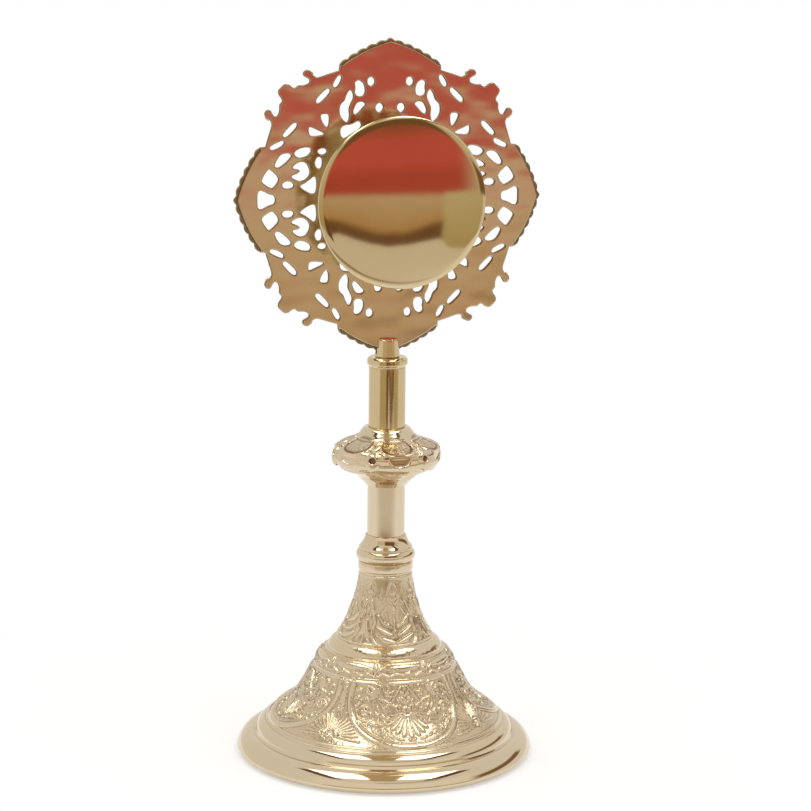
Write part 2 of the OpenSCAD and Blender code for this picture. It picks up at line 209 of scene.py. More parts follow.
grey_card, tree = new_finish("card_pressed_grey")
place = add(tree, "TexCoord")
fibre = add(tree, "TexNoise", {"Vector": (place, "Object"), "Scale": 1 / (0.7 * MM), "Detail": 5.0})
tone = add(tree, "Mix", {"Factor": (fibre, "Fac"), "A": linear("#7C6950"), "B": linear("#A08B6C")},
           data_type="RGBA")
shader = add(tree, "BsdfPrincipled", {"Base Color": (tone, "Result"), "Roughness": 0.9})
add(tree, "OutputMaterial", {"Surface": (shader, "BSDF")})

wine_velvet, tree = new_finish("velvet_cotton_wine")
place = add(tree, "TexCoord")
pile = add(tree, "TexNoise", {"Vector": (place, "Object"), "Scale": 1 / (0.6 * MM), "Detail": 4.0})
brushed = add(tree, "TexNoise", {"Vector": (place, "Object"), "Scale": 1 / (9 * MM), "Detail": 2.0})
blend = add(tree, "Math", {0: (pile, "Fac"), 1: (brushed, "Fac")}, operation="MULTIPLY")
tone = add(tree, "Mix", {"Factor": (blend, "Value"), "A": linear("#4A0A14"), "B": linear("#A02A38")},
           data_type="RGBA")
nap = add(tree, "Bump", {"Height": (pile, "Fac"), "Strength": 0.6, "Distance": 0.3 * MM})
shader = add(tree, "BsdfPrincipled", {"Base Color": (tone, "Result"), "Roughness": 0.95, "Sheen Weight": 0.8,
                                      "Sheen Roughness": 0.4, "Sheen Tint": linear("#D98A90"),
                                      "Normal": (nap, "Normal")})
add(tree, "OutputMaterial", {"Surface": (shader, "BSDF")})
print("other finishes: 5")

# %% [markdown]
# ## Tools for turned pieces
# Nearly every piece was turned on a lathe, so one tool makes them: a circle with as many points as the
# outline has is pulled into the outline, and a Screw modifier turns it once round. Spin in edit mode gives
# the same shape, but takes twenty seconds for a fine mesh. The outline's sharp corners are eased first,
# because a real edge is never quite sharp and its small round is what catches the light. An extra point on
# each side of the round keeps it from bending the shading of a long straight wall.


# %% Outline tools
def bow(start, end, rise, count=8):
    """Points of a bowed line. Its middle stands this far to the left of the way from start to end."""
    start, end = np.array(start, float), np.array(end, float)
    way = end - start
    side = np.array([-way[1], way[0]]) / np.hypot(*way)
    steps = np.linspace(0, 1, count + 1)[:, None]
    return [tuple(p) for p in start + way * steps + side * (4 * steps * (1 - steps) * rise)]


def flowing(points, spacing):
    """A smooth curve through the points, with its own points about this far apart."""
    points = np.array(points, float)
    ends = np.vstack([2 * points[0] - points[1], points, 2 * points[-1] - points[-2]])
    fine = [points[0]]
    for a, b, c, d in zip(ends, ends[1:], ends[2:], ends[3:]):
        count = max(2, round(np.hypot(*(c - b)) / spacing))
        for t in np.linspace(0, 1, count + 1)[1:]:
            fine.append(0.5 * (2 * b + (c - a) * t + (2 * a - 5 * b + 4 * c - d) * t ** 2
                               + (3 * b - a - 3 * c + d) * t ** 3))
    return [tuple(p) for p in fine]


SHARP_CORNER, ROUND_STEPS = 28, 3
HELD_LENGTH, SIDE_SHARE, ON_AXIS, LEAST_ROUND = 1.5, 0.45, 0.01, 0.02


def eased(outline, radius=0.25):
    """The closed outline with its sharp corners rounded off, each held by a point on both sides."""
    points = [np.array(p, float) for p in outline]
    soft = []
    for before, corner, after in zip([points[-1]] + points, points, points[1:] + points[:1]):
        come, go = corner - before, after - corner
        far, long = np.hypot(*come), np.hypot(*go)
        reach = min(radius, SIDE_SHARE * far, SIDE_SHARE * long)
        bend = abs(math.degrees(math.atan2(come[0] * go[1] - come[1] * go[0], come @ go)))
        if bend < SHARP_CORNER or corner[0] < ON_AXIS or reach < LEAST_ROUND:
            soft.append(tuple(corner))
            continue
        a, b = corner - come / far * reach, corner + go / long * reach
        if far > HELD_LENGTH:
            soft.append(tuple(a - come / far * radius))
        for t in np.linspace(0, 1, ROUND_STEPS + 1):
            soft.append(tuple(a * (1 - t) ** 2 + corner * 2 * t * (1 - t) + b * t ** 2))
        if long > HELD_LENGTH:
            soft.append(tuple(b + go / long * radius))
    return soft


# %% Turning tools
def deselect():
    """Nothing is selected after this, so the next operator acts on the new piece alone."""
    if bpy.context.object and bpy.context.object.mode != "OBJECT":
        bpy.ops.object.mode_set(mode="OBJECT")
    bpy.ops.object.select_all(action="DESELECT")


def take_up(piece):
    """Selects this piece alone and makes it the active one."""
    deselect()
    piece.select_set(True)
    bpy.context.view_layer.objects.active = piece


MERGED = 0.001 * MM


def clean():
    """Closes the active piece's seams and poles and turns all its faces outwards."""
    bpy.ops.object.mode_set(mode="EDIT")
    bpy.ops.mesh.select_all(action="SELECT")
    bpy.ops.mesh.remove_doubles(threshold=MERGED)
    bpy.ops.mesh.delete_loose(use_verts=True, use_edges=True, use_faces=False)
    bpy.ops.mesh.select_all(action="SELECT")
    bpy.ops.mesh.normals_make_consistent(inside=False)
    bpy.ops.object.mode_set(mode="OBJECT")


CAPSULE_HEIGHT = 239
SMOOTH_ANGLE = math.radians(40)


def turned(name, outline, steps, on_capsule=False):
    """A closed outline of radius and height in mm, turned once round the stem's or the capsule's axis."""
    deselect()
    bpy.ops.mesh.primitive_circle_add(vertices=len(outline), radius=1)
    piece = bpy.context.object
    piece.name = piece.data.name = name
    for vertex, (radius, height) in zip(piece.data.vertices, outline):
        vertex.co = (max(radius, 0) * MM, 0, height * MM)
    screw = piece.modifiers.new("turn", "SCREW")
    screw.axis, screw.angle = "Z", 2 * math.pi
    screw.steps = screw.render_steps = steps
    screw.use_merge_vertices = True
    screw.merge_threshold = MERGED
    bpy.ops.object.modifier_apply(modifier="turn")
    clean()
    if on_capsule:
        piece.rotation_euler = (math.pi / 2, 0, 0)
        piece.location = (0, 0, CAPSULE_HEIGHT * MM)
        bpy.ops.object.transform_apply(location=True, rotation=True, scale=True)
    bpy.ops.object.shade_smooth_by_angle(angle=SMOOTH_ANGLE)
    return piece


def settle(piece, body, nodes, finish):
    """Gives a finished piece its body, the CAD nodes it stands for and its material."""
    piece.data.materials.clear()
    piece.data.materials.append(finish)
    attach(piece, body)
    if nodes:
        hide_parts(*nodes)
    print(piece.name, len(piece.data.polygons), "faces")
    return piece


# %% [markdown]
# ## Tools for relief
# The foot and the knop carry raised leaves, scrolls and flutes. On the real object they are part of the
# casting. Here a fine turned mesh is raised point by point, as a sculptor would pull clay: each motif is a
# stroke, which is a path with a width and a height, and a point rises to the highest stroke over it. Bump
# in the material would be easier, but then the outline and the mesh would stay smooth.


# %% Motif tools
def stroke(path, half_width, height, vein=0.0):
    """One raised stroke in mm. Its width may change along the path, and a vein runs down its middle."""
    path = np.array(path, float)
    return path, np.broadcast_to(np.array(half_width, float), len(path)), height, vein


def petal(root, heading, length, half_width, height=0.8, bend=0, vein=0.0):
    """A leaf that starts at its root in this heading, in degrees, and turns by bend on its way."""
    steps = np.linspace(0, 1, 9)
    turn = np.radians(heading + bend * steps)
    way = np.cumsum(np.stack([np.cos(turn), np.sin(turn)], 1), 0) * length / 9
    widths = half_width * np.sin(math.pi * (0.1 + 0.78 * steps)) ** 0.9
    return stroke(np.array(root) + way, widths, height, vein)


def curl(centre, big, small, start, turns, half_width=0.55, height=0.8):
    """A spiral that winds in from its big radius to its small one."""
    steps = np.linspace(0, 1, 26)
    turn = math.radians(start) + 2 * math.pi * turns * steps
    reach = big + (small - big) * steps ** 0.8
    path = np.stack([centre[0] + reach * np.cos(turn), centre[1] + reach * np.sin(turn)], 1)
    return stroke(path, half_width * (1 - 0.4 * steps), height)


def flower(centre, petals, length, half_width, start=90, height=0.7):
    """Petals round a small boss."""
    leaves = [petal(centre, start + 360 * i / petals, length, half_width, height) for i in range(petals)]
    return leaves + [stroke([centre, centre], length * 0.3, height * 1.1)]


def spoke(root, heading, reaches, half_widths, height):
    """A straight stroke away from its root in this heading, in degrees, with a width at each reach."""
    out = np.array([math.cos(math.radians(heading)), math.sin(math.radians(heading))])
    return stroke([np.array(root) + out * reach for reach in reaches], half_widths, height)


# %% Relief tools
def ground_of(height, full=0.3):
    """1 in the ground between strokes and 0 on top of them."""
    return np.clip(1 - height / full, 0, 1)


CHASED, CHASED_TOP, VEIN_WIDTH, FAR_OFF = 0.38, 0.35, 0.2, 9.0


def raised(across, up, strokes):
    """The highest stroke at each point, in mm, and the line chased round the strokes, from 0 to 1."""
    height, line = np.zeros_like(across), np.zeros_like(across)
    for path, widths, tall, vein in strokes:
        reach = widths.max() + 2 * CHASED
        near = ((across > path[:, 0].min() - reach) & (across < path[:, 0].max() + reach)
                & (up > path[:, 1].min() - reach) & (up < path[:, 1].max() + reach))
        if not near.any():
            continue
        x, y = across[near], up[near]
        best, gap = np.full(x.shape, FAR_OFF), np.full(x.shape, FAR_OFF)
        for (ax, ay), (bx, by), wa, wb in zip(path, path[1:], widths, widths[1:]):
            long = max((bx - ax) ** 2 + (by - ay) ** 2, 1e-9)
            t = np.clip(((x - ax) * (bx - ax) + (y - ay) * (by - ay)) / long, 0, 1)
            away = np.hypot(x - ax - t * (bx - ax), y - ay - t * (by - ay))
            wide = np.maximum(wa + (wb - wa) * t, 0.05)
            best, gap = np.minimum(best, away / wide), np.minimum(gap, away - wide)
        top = tall * np.sqrt(np.clip(1 - best ** 2, 0, 1)) * (1 - vein * np.exp(-(best / VEIN_WIDTH) ** 2))
        height[near] = np.maximum(height[near], top)
        line[near] = np.maximum(line[near], np.clip(1 - np.abs(gap - CHASED / 4) / CHASED, 0, 1))
    return height, line * ground_of(height, CHASED_TOP)


def points_of(piece):
    """The places of a mesh's points in metres, one row each."""
    places = np.empty(len(piece.data.vertices) * 3)
    piece.data.vertices.foreach_get("co", places)
    return places.reshape(-1, 3)


def mark_ground(piece, ground):
    """Stores how unpolished each point is, with its painted shade, from 0 to 1, where the brass finishes read it.
    """
    marks = piece.data.attributes.new("ground", "FLOAT", "POINT")
    marks.data.foreach_set("value", ground.astype(np.float32))


def climb_of(zone):
    """How far along the outline each of its points lies."""
    return np.concatenate([[0], np.cumsum(np.hypot(*np.diff(zone, axis=0).T))])


ON_ZONE = 0.02


def emboss(piece, zone, heights):
    """Raises the zone of a turned piece. heights gives mm for the turn from -Y in degrees and the way up."""
    points = points_of(piece) / MM
    zone = np.array(zone)
    climb = climb_of(zone)
    slope = np.gradient(zone, climb, axis=0)
    radius = np.hypot(points[:, 0], points[:, 1])
    at = points[:, 2]
    on_zone = ((np.abs(radius - np.interp(at, zone[:, 1], zone[:, 0])) < ON_ZONE)
               & (at >= zone[0, 1]) & (at <= zone[-1, 1]))
    turn = np.degrees(np.arctan2(points[on_zone, 0], -points[on_zone, 1]))
    up = np.interp(at[on_zone], zone[:, 1], climb)
    height, ground = heights(turn, up, climb[-1])
    lean = np.stack([np.interp(up, climb, slope[:, 1]), -np.interp(up, climb, slope[:, 0])], 1)
    lean /= np.hypot(*lean.T)[:, None]
    points[on_zone, :2] *= (1 + height * lean[:, 0] / radius[on_zone])[:, None]
    points[on_zone, 2] += height * lean[:, 1]
    piece.data.vertices.foreach_set("co", (points * MM).ravel())
    depth = np.zeros(len(points))
    depth[on_zone] = ground
    mark_ground(piece, depth)
    piece.data.update()
    take_up(piece)
    bpy.ops.object.shade_smooth()
    print(piece.name, "relief from", round(height.min(), 2), "to", round(height.max(), 2), "mm")


def folded(turn, repeats):
    """The turn from the middle of the nearest repeat, always counted to the same side."""
    share = 360 / repeats
    return np.abs((turn + share / 2) % share - share / 2)


def chased_wall(strokes, repeats, mm_per_degree, sunk, cut, shade, dark, margin, line_fade=lambda up: 1):
    """The heights of a wall on which the strokes repeat. Its ground is sunk and darkened as painted shade, a line
    is cut round each stroke and darkened as painted shade, and both fade in the margin at the wall's edges."""
    def heights(turn, up, top):
        height, line = raised(folded(turn, repeats) * mm_per_degree, up, strokes)
        fade = np.clip(np.minimum(up, top - up) / margin, 0, 1)
        # Painted shade: the sunk ground and the cut line round each stroke are darkened.
        ground = np.maximum(shade * ground_of(height), dark * line * line_fade(up))
        return (height - sunk - cut * line) * fade, ground * fade

    return heights


# %% [markdown]
# ## The foot's rim
# Two plain rolled bands that carry the weight and show the brightest reflections. They are one turned ring,
# open in the middle, with a fine groove above each band.

# %% Foot rim
foot_rim = turned("foot_rim", eased(
    bow((60.3, 0), (63.5, 2.4), -0.5, 6) + bow((63.5, 3), (56.4, 8.9), -1.5, 18)
    + [(56.1, 8.7), (55.7, 8.8), (55.5, 9.3)] + bow((55.3, 9.6), (51.6, 13.9), -0.9, 14)
    + [(51.3, 13.7), (51.1, 13.9), (51.1, 14.3), (50.8, 14.6), (50.5, 14.5), (50.4, 14.8), (50.2, 15)]
    + [(47.4, 14.5), (53, 8.2), (57, 4.2), (57, 0)], 0.12), 256)
settle(foot_rim, "stand", ["foot_bell"], turned_brass)

# %% [markdown]
# ## The bell's embossed wall
# Four shield-shaped medallions go round the bell, each framed by a broad smooth band with a fine line inside
# it. In the frame is a shell fan that opens downwards, with scrolls, flowers and split leaves on both sides.
# Flutes and a tall feathered leaf fill the corners between the medallions. Only half a medallion is drawn,
# and folding mirrors and repeats it.

# %% Bell relief
OGEE = [(50.2, 15), (47, 18), (43, 20.8), (39, 24), (36.2, 28), (33.8, 32.4), (31.9, 36), (30.4, 38.6)]
bell_zone = flowing(OGEE, 0.33)
BELL_MM_PER_DEGREE = 0.698
shield = [(0, 1.5), (5, 1.8), (9.7, 3), (14.7, 5.6), (19.4, 9.4), (23.2, 13.4), (26, 17.8), (27.4, 22),
          (27.8, 26), (27.4, 30.4)]
inner_shield = [(0, 3.4), (4.6, 3.7), (8.7, 4.8), (13.3, 7.3), (17.7, 10.8), (21.2, 14.7), (23.7, 18.8),
                (25, 22.4), (25.4, 26), (25.1, 30.4)]
bell_strokes = [stroke([(0, 0.5), (32, 0.5)], 0.35, 0.45), stroke([(0, 30.7), (32, 30.7)], 0.4, 0.5),
                stroke(flowing(shield, 1), 1.35, 0.8), stroke(flowing(inner_shield, 1), 0.35, 0.5)]
SHELL_ROOT, FLUTE_ROOT = (0, 18.6), (31.4, 5.4)
for i in range(6):
    far = 12.2 - 0.5 * i
    bell_strokes.append(spoke(SHELL_ROOT, -90 + 14 * i, (2.0, 4.5, 7.5, far - 1.4, far),
                              [0.3, 0.55, 0.9, 1.1, 0.8], 0.85))
bell_strokes += [
    stroke([(0, 19.6), (0, 16.6)], [1.5, 1.1], 0.6), curl((3.6, 19.9), 1.9, 0.4, 200, -1.3, 0.45, 0.7),
    petal((0, 20.8), 90, 4.6, 0.9, 0.8, 0, 0.4), petal((0.3, 24.6), 55, 2.8, 0.8, 0.75, -20, 0.4),
    petal((0.2, 25), 90, 4.4, 0.9, 0.75, 0, 0.4), petal((0.5, 24.2), 8, 2.6, 0.7, 0.7, -20),
    petal((0.6, 21.6), 62, 4, 0.55, 0.6, -30),
    stroke(flowing([(1.6, 29.2), (4.4, 26), (7, 22.8), (10.6, 19.8)], 0.8), 0.5, 0.75),
    stroke(flowing([(13.6, 23.8), (9.6, 23.2), (6.6, 21.6), (4.6, 20.6)], 0.8), 0.45, 0.65),
    stroke(flowing([(10.6, 19.8), (12.6, 22.4), (14, 25.6)], 0.8), 0.5, 0.75),
    curl((19.8, 18.2), 3.9, 0.8, -110, 1.5, 0.6, 0.8),
    stroke(flowing([(9.4, 13.2), (12.2, 12.2), (15.6, 12.6), (18.6, 14.4)], 0.8), 0.5, 0.75),
    curl((11.8, 9.6), 2.2, 0.4, -150, 1.4, 0.45, 0.7), curl((21.6, 13.6), 1.3, 0.3, 160, 1.2, 0.4, 0.6),
    curl((4.8, 29), 1.2, 0.3, 20, 1.2, 0.35, 0.6), curl((22.6, 22.6), 1.4, 0.3, -60, -1.3, 0.4, 0.65),
    curl((19.2, 26.6), 1.5, 0.3, 40, 1.3, 0.4, 0.65), curl((8, 19.4), 1.2, 0.3, 90, -1.2, 0.35, 0.6)]
bell_strokes += [petal(root, heading, length, wide, 0.65, bend, 0.3) for root, heading, length, wide, bend in (
    ((9.2, 15.6), 40, 4.6, 0.8, -40), ((9.4, 17.4), 78, 3, 0.6, -30), ((15.2, 11.6), -40, 2.8, 0.65, 0),
    ((13.8, 14.8), 70, 3.4, 0.75, 40), ((2.6, 4.9), 12, 3.6, 0.6, 20), ((0.2, 4.4), 40, 2, 0.55, 20),
    ((24.4, 19.6), 125, 3, 0.6, 30), ((25, 23.4), 140, 3, 0.6, 30), ((25.2, 26.8), 150, 3.2, 0.65, 30),
    ((22.6, 16.2), 98, 2.4, 0.55, 0), ((12.2, 16.6), 20, 3, 0.6, 40), ((12, 18.6), 40, 3, 0.6, 30),
    ((11.6, 21.2), 75, 2.4, 0.5, -30), ((9.4, 21.6), 150, 2.6, 0.55, 20), ((8.2, 23.4), 125, 2.8, 0.55, 20),
    ((6.6, 25), 100, 2.6, 0.55, 20), ((16.2, 15.4), 95, 3, 0.6, -40), ((15, 20.4), 60, 3.4, 0.65, 40),
    ((16.8, 22.6), 20, 3, 0.6, 40), ((6.6, 6), 35, 2.6, 0.55, 20), ((9.2, 6.4), 70, 2, 0.5, 20),
    ((14.2, 9.2), 20, 2.6, 0.55, 30), ((17.2, 11.2), 55, 2.4, 0.55, 30), ((7.6, 28.2), 60, 2.4, 0.5, -30),
    ((10.8, 27.4), 85, 3, 0.6, -30), ((21.6, 24.6), 60, 3.6, 0.6, 40), ((17.4, 29.6), -20, 3, 0.55, -20),
    ((20.4, 21.8), 100, 2.6, 0.55, 30), ((2.4, 22.6), 20, 2.2, 0.45, 30), ((12.4, 29.8), 5, 3, 0.5, 0))]
bell_strokes += [petal((14, 25.6), 112 - 34 * i, length, 0.95, 0.8, 0, 0.35)
                 for i, length in enumerate((4.4, 5.2, 5.4, 5.2, 4.2))]
bell_strokes += flower((19.8, 18.2), 5, 1.7, 0.6) + flower((8.6, 26.2), 5, 1.5, 0.55)
bell_strokes += flower(FLUTE_ROOT, 6, 1.8, 0.65)
for i, far in enumerate((12.4, 12, 11.4, 10.8, 10.2, 10, 10.2, 11, 12.4)):
    bell_strokes.append(spoke(FLUTE_ROOT, 96 + 11.5 * i, (2.2, 4.4, 0.8 * far, far), [0.2, 0.35, 0.62, 0.4], 0.7))
bell_strokes += [stroke([(31.4, 18), (31.4, 29.8)], 0.4, 0.7)]
bell_strokes += [petal((31.2, 17 + 1.9 * i), 126, 3.4 - 0.3 * i, 0.6, 0.65, -25, 0.3) for i in range(7)]
print("bell strokes:", len(bell_strokes))

# %% Bell wall
bell_wall = turned("bell_wall", bell_zone + [(28.4, 37.9), (30, 35), (34.2, 27.4), (37.2, 23.2), (41, 19.6),
                                             (47.4, 14.5)], 800)
emboss(bell_wall, bell_zone, chased_wall(bell_strokes, 4, BELL_MM_PER_DEGREE, sunk=0.12, cut=0.15, shade=0.25,
                                         dark=0.9, margin=0.6))
settle(bell_wall, "stand", ["foot_bell"], embossed_brass)

# %% [markdown]
# ## The bell's shoulder
# Above the medallions runs a narrow band of long smooth bosses with buds between them and a waving stem
# below, and over it a plain convex ring. The flat web inside it takes the rod.

# %% Bell shoulder
band_zone = flowing(bow((30.2, 38.8), (25.2, 46), -0.9, 6), 0.3)
BAND_MM_PER_DEGREE = 0.483
band_strokes = [stroke([(0, 0.35), (11, 0.35)], 0.35, 0.4), stroke([(0, 8.5), (11, 8.5)], 0.35, 0.4),
                stroke([(0, 5.6), (4, 5.6), (6.6, 5.5), (7.8, 5.3)], [1.5, 1.4, 0.9, 0.4], 0.6),
                stroke(flowing([(0, 2.1), (2.6, 2.9), (5.2, 1.7), (7.8, 2.8), (9.6, 1.9), (11, 1.7)], 0.6),
                       0.45, 0.6),
                petal((10.9, 1.6), 90, 6, 1.1, 0.8, 0, 0.3), petal((9.9, 2.4), 112, 4.4, 0.6, 0.7, 25),
                petal((2.8, 2.8), 60, 1.6, 0.5, 0.5), petal((5.4, 1.8), -60, 1.4, 0.45, 0.5),
                petal((7.8, 2.8), 50, 2, 0.5, 0.5), curl((8.4, 4.4), 1, 0.4, 0, 1, 0.35, 0.5)]
bell_shoulder = turned("bell_shoulder", [(30.4, 38.6)] + band_zone + [(24.9, 46.1), (24.6, 46.2), (24.5, 46.5)]
                       + bow((24.5, 46.8), (20.9, 50.6), -0.6, 12)
                       + [(20.6, 50.75), (20.3, 50.8), (3.3, 50.8), (3.3, 48.6), (18.8, 48.6), (22.6, 45),
                          (28, 38.2)], 560)
emboss(bell_shoulder, band_zone, chased_wall(band_strokes, 8, BAND_MM_PER_DEGREE, sunk=0.1, cut=0.12, shade=0.25,
                                             dark=0.8, margin=0.4))
settle(bell_shoulder, "stand", ["foot_bell"], embossed_brass)

# %% [markdown]
# ## The embossed cone
# A slender cone with four upright leaves whose veins rise to both sides, smooth pointed leaves between them,
# and forked stems at their edges. Its upper third is plain and ends in a fine groove under the top ring.

# %% Foot neck
cone_zone = flowing(bow((20.4, 50.9), (14.1, 65), 0.8, 5) + bow((14.0, 65.4), (11.6, 78.4), 0.4, 5), 0.3)
CONE_MM_PER_DEGREE = 0.262
cone_strokes = [
    stroke([(0, 0.4), (12, 0.4)], 0.4, 0.45),
    stroke(flowing([(6.6, 0.4), (8.2, 3.5), (8.6, 7), (8.1, 10.3), (8.8, 13.5), (10.2, 19)], 0.7),
           0.75, 0.8),
    stroke(flowing([(8.8, 13.2), (7.4, 16.6), (6.2, 19.6)], 0.7), 0.4, 0.4),
    stroke([(6.9, 13.2), (4.2, 10.2), (1.3, 8.6)], [0.5, 1.0, 0.5], 0.8),
    stroke([(7, 8.4), (4, 6.2), (1.3, 5)], [0.5, 1.05, 0.5], 0.85),
    stroke([(6.6, 4.6), (3.6, 2.8), (0.6, 1.6)], [0.6, 1.15, 0.6], 0.85),
    stroke([(5.3, 13.8), (3.3, 17)], [0.5, 0.3], 0.45), stroke([(0, 7.4), (0, 13.4)], [0.35, 0.35], 0.45),
    petal((0, 9.6), 90, 3.4, 0.7, 0.6), petal((0, 13.8), 90, 3.8, 1.0, 0.4, 0, 0.4),
    petal((0, 4.2), 90, 2.8, 0.7, 0.6), petal((2.6, 11.4), 70, 3, 0.55, 0.4),
    stroke([(11.6, 11), (10.9, 6.4), (9.6, 2.4)], [0.4, 1.2, 0.8], 0.85, 0.3),
    stroke([(11.8, 1), (11.8, 6)], [0.8, 0.5], 0.7), petal((10.2, 11.2), 88, 4.6, 0.6, 0.4),
    petal((11.8, 12.6), 90, 5, 0.8, 0.35, 0, 0.4),
    stroke(flowing([(0, 18), (2.4, 20.2), (2.8, 23.4), (1.4, 26.4), (0, 28)], 0.7), 0.5, 0.2),
    stroke([(0, 18), (0, 27)], 0.4, 0.2), petal((0.4, 19.6), 55, 2.4, 0.6, 0.2),
    petal((0.4, 22), 60, 2.2, 0.6, 0.2),
    stroke(flowing([(11.8, 18.6), (9.6, 20.6), (9.2, 23.6), (10.4, 26), (11.8, 27.4)], 0.7), 0.5, 0.2),
    stroke([(11.8, 18.6), (11.8, 26.6)], 0.4, 0.2), petal((11.6, 20), 120, 2.2, 0.6, 0.2),
    petal((11.6, 22.4), 120, 2, 0.6, 0.2), petal((5.8, 18.6), 90, 6, 0.9, 0.2, 0, 0.4),
    petal((5.2, 18.4), 122, 3.4, 0.6, 0.2), petal((6.6, 18.6), 62, 3.4, 0.6, 0.2)]


def cone_line_fade(up):
    """How dark the painted shade of the chased line is: it fades towards the cone's plain top."""
    return np.clip((22 - up) / 9, 0.25, 1)


foot_cone = turned("foot_cone", [(20.4, 50.8)] + cone_zone + [(11.4, 78.7), (11.1, 79.0), (11.0, 79.5),
                   (11.2, 79.9), (11.5, 80.2), (11.65, 80.6), (11.65, 83.4), (11.5, 83.8), (11.2, 84), (3.3, 84),
                   (3.3, 80), (9.8, 80), (9.8, 75), (12, 65), (14.6, 58), (18.2, 50.8)], 480)
emboss(foot_cone, cone_zone, chased_wall(cone_strokes, 4, CONE_MM_PER_DEGREE, sunk=0.08, cut=0.12, shade=0.3,
                                         dark=0.8, margin=0.4, line_fade=cone_line_fade))
settle(foot_cone, "stand", ["foot_neck"], embossed_brass)

# %% [markdown]
# ## The collar, the tubes and the cap
# These are plain lathe work: a collar with a bead, two tubes that stand in sockets, and a cap that closes the
# upper tube. Their outlines are those of the CAD pieces, with eased edges.

# %% Plain stem pieces
STEM_OUTLINES = {
    "stem_collar": [(11.2, 84)] + bow((11.7, 84.4), (11.7, 88.8), -0.9, 10)
    + [(11.4, 89), (11.15, 89.1), (11.15, 89.4), (11.4, 89.5), (11.4, 90)]
    + bow((11.2, 90.3), (8.8, 94.8), 0.35, 6)
    + [(8.75, 95.1), (8.3, 95.4), (8.05, 95.4), (8.05, 92.4), (3.3, 92.4), (3.3, 84)],
    "lower_stem_tube": [(8, 92.4), (8, 120), (6.6, 120), (6.6, 92.4)],
    "upper_stem_tube": [(7.75, 140), (7.75, 167.8), (6.6, 167.8), (6.6, 140)],
    "stem_cap": [(6.55, 152), (6.55, 167.8), (7.85, 167.8), (7.85, 168.3), (8.25, 168.7), (8.55, 169.1),
                 (8.55, 171), (7.75, 172), (4.05, 172), (4.05, 158), (3, 158), (3, 152)]}
for node, outline in STEM_OUTLINES.items():
    piece = turned(node + "_turned", eased(outline), 128)
    upper = node in ("upper_stem_tube", "stem_cap")
    settle(piece, "stand", [node], tube_brass if upper else turned_brass)

# %% [markdown]
# ## The knop
# The grip of the stem is one casting with six lobes. Each has a half-round medallion of leaves on its upper
# slope and a flat polished face below it. Between the lobes stand small shields, each with a drilled pit, and
# below the middle the casting draws in there. The turned waist is raised in the same way as the foot, but here
# some parts are cut flat or sunk. Its slopes are slimmer than the CAD solid's, and the shields stand proud of it.

# %% Knop
knop_waist = [(10.1, 118.7), (12, 120.4), (14.2, 122.2), (17.8, 123.9), (21, 125.6), (22.5, 127.4),
              (22.9, 129.1), (22.6, 131), (22.3, 132.6), (20.9, 134.3), (16.7, 136), (12.9, 137.8),
              (11.5, 139.5), (10.3, 141.2)]
knop_zone = flowing(knop_waist, 0.33)
KNOP_MM_PER_DEGREE = 0.349
WINDOW_LOW, WINDOW_HIGH, WINDOW_HALF_TURN = 128.7, 133.3, 12.2
WINDOW_LOW_RADIUS, WINDOW_HIGH_RADIUS = 21.9, 21.74
MEDAL_LOW, MEDAL_HIGH, MEDAL_SUNK = 22.1, 30.9, 0.2
PIT_TURN, PIT_HEIGHT, PIT_RADIUS, PIT_DEPTH = 30, 19.5, 1.2, 1.5
GAP_DEPTH, GAP_TURN, GAP_SOFT = 1.3, 19, 18
GAP_TOP, GAP_TOP_SOFT, GAP_FOOT, GAP_FOOT_SOFT = 126, 3, 122, 4
KNOP_MARGIN = 1.5
medal_edge = flowing([(7.0, 31), (7.4, 28.8), (6.8, 26), (5, 23.6), (2.6, 22.4), (0, 22.1)], 0.5)
knop_ridges = [
    stroke([(0, 31.5), (7.7, 31.4)], 0.4, 0.4),
    stroke(flowing([(8.2, 28.6), (7.6, 25.4), (5.6, 22.6), (2.8, 21.3), (0, 21)], 0.6), 0.35, 0.35),
    stroke([(8.3, 24.4), (9.4, 22.6), (10.5, 22)], 0.45, 0.45), stroke([(8.8, 28.4), (10.5, 25.4)], 0.5, 0.35),
    stroke(flowing([(0, 12.2), (4, 12.5), (7.6, 13.4), (10.5, 12.8)], 0.8), 0.45, 0.4)]
knop_grooves = [stroke(medal_edge, 0.6, 0.6), stroke([(0, 30.9), (7.4, 30.9)], 0.35, 0.3),
                stroke([(0, 32.7), (3.6, 32.6), (6.8, 32)], [1.0, 0.9, 0.3], 0.35)]
medal_leaves = [petal((0, 30.4), -90, 6.8, 0.9, 0.35, 0, 0.4), petal((0.5, 30.4), -63, 6.6, 0.85, 0.35, 8, 0.4),
                petal((0.9, 30.4), -38, 6.4, 0.85, 0.35, 8, 0.4),
                petal((1.6, 30.2), -14, 4.8, 0.75, 0.35, 6, 0.4),
                stroke([(1.6, 24.4), (1.9, 24.5)], 0.5, 0.4), stroke([(4.2, 25.2), (4.4, 25.4)], 0.5, 0.4),
                stroke([(6.2, 27), (6.3, 27.3)], 0.5, 0.4)]
shield_boss = [stroke([(10.5, 20.2), (10.5, 18.4), (10.5, 16), (10.5, 13.8)], [2.5, 2.6, 1.7, 0.4], 0.9)]


# %% Knop relief
def step_up(value, width=0.3):
    """A steep but smooth rise from 0 to 1."""
    share = np.clip(value / width + 0.5, 0, 1)
    return share * share * (3 - 2 * share)


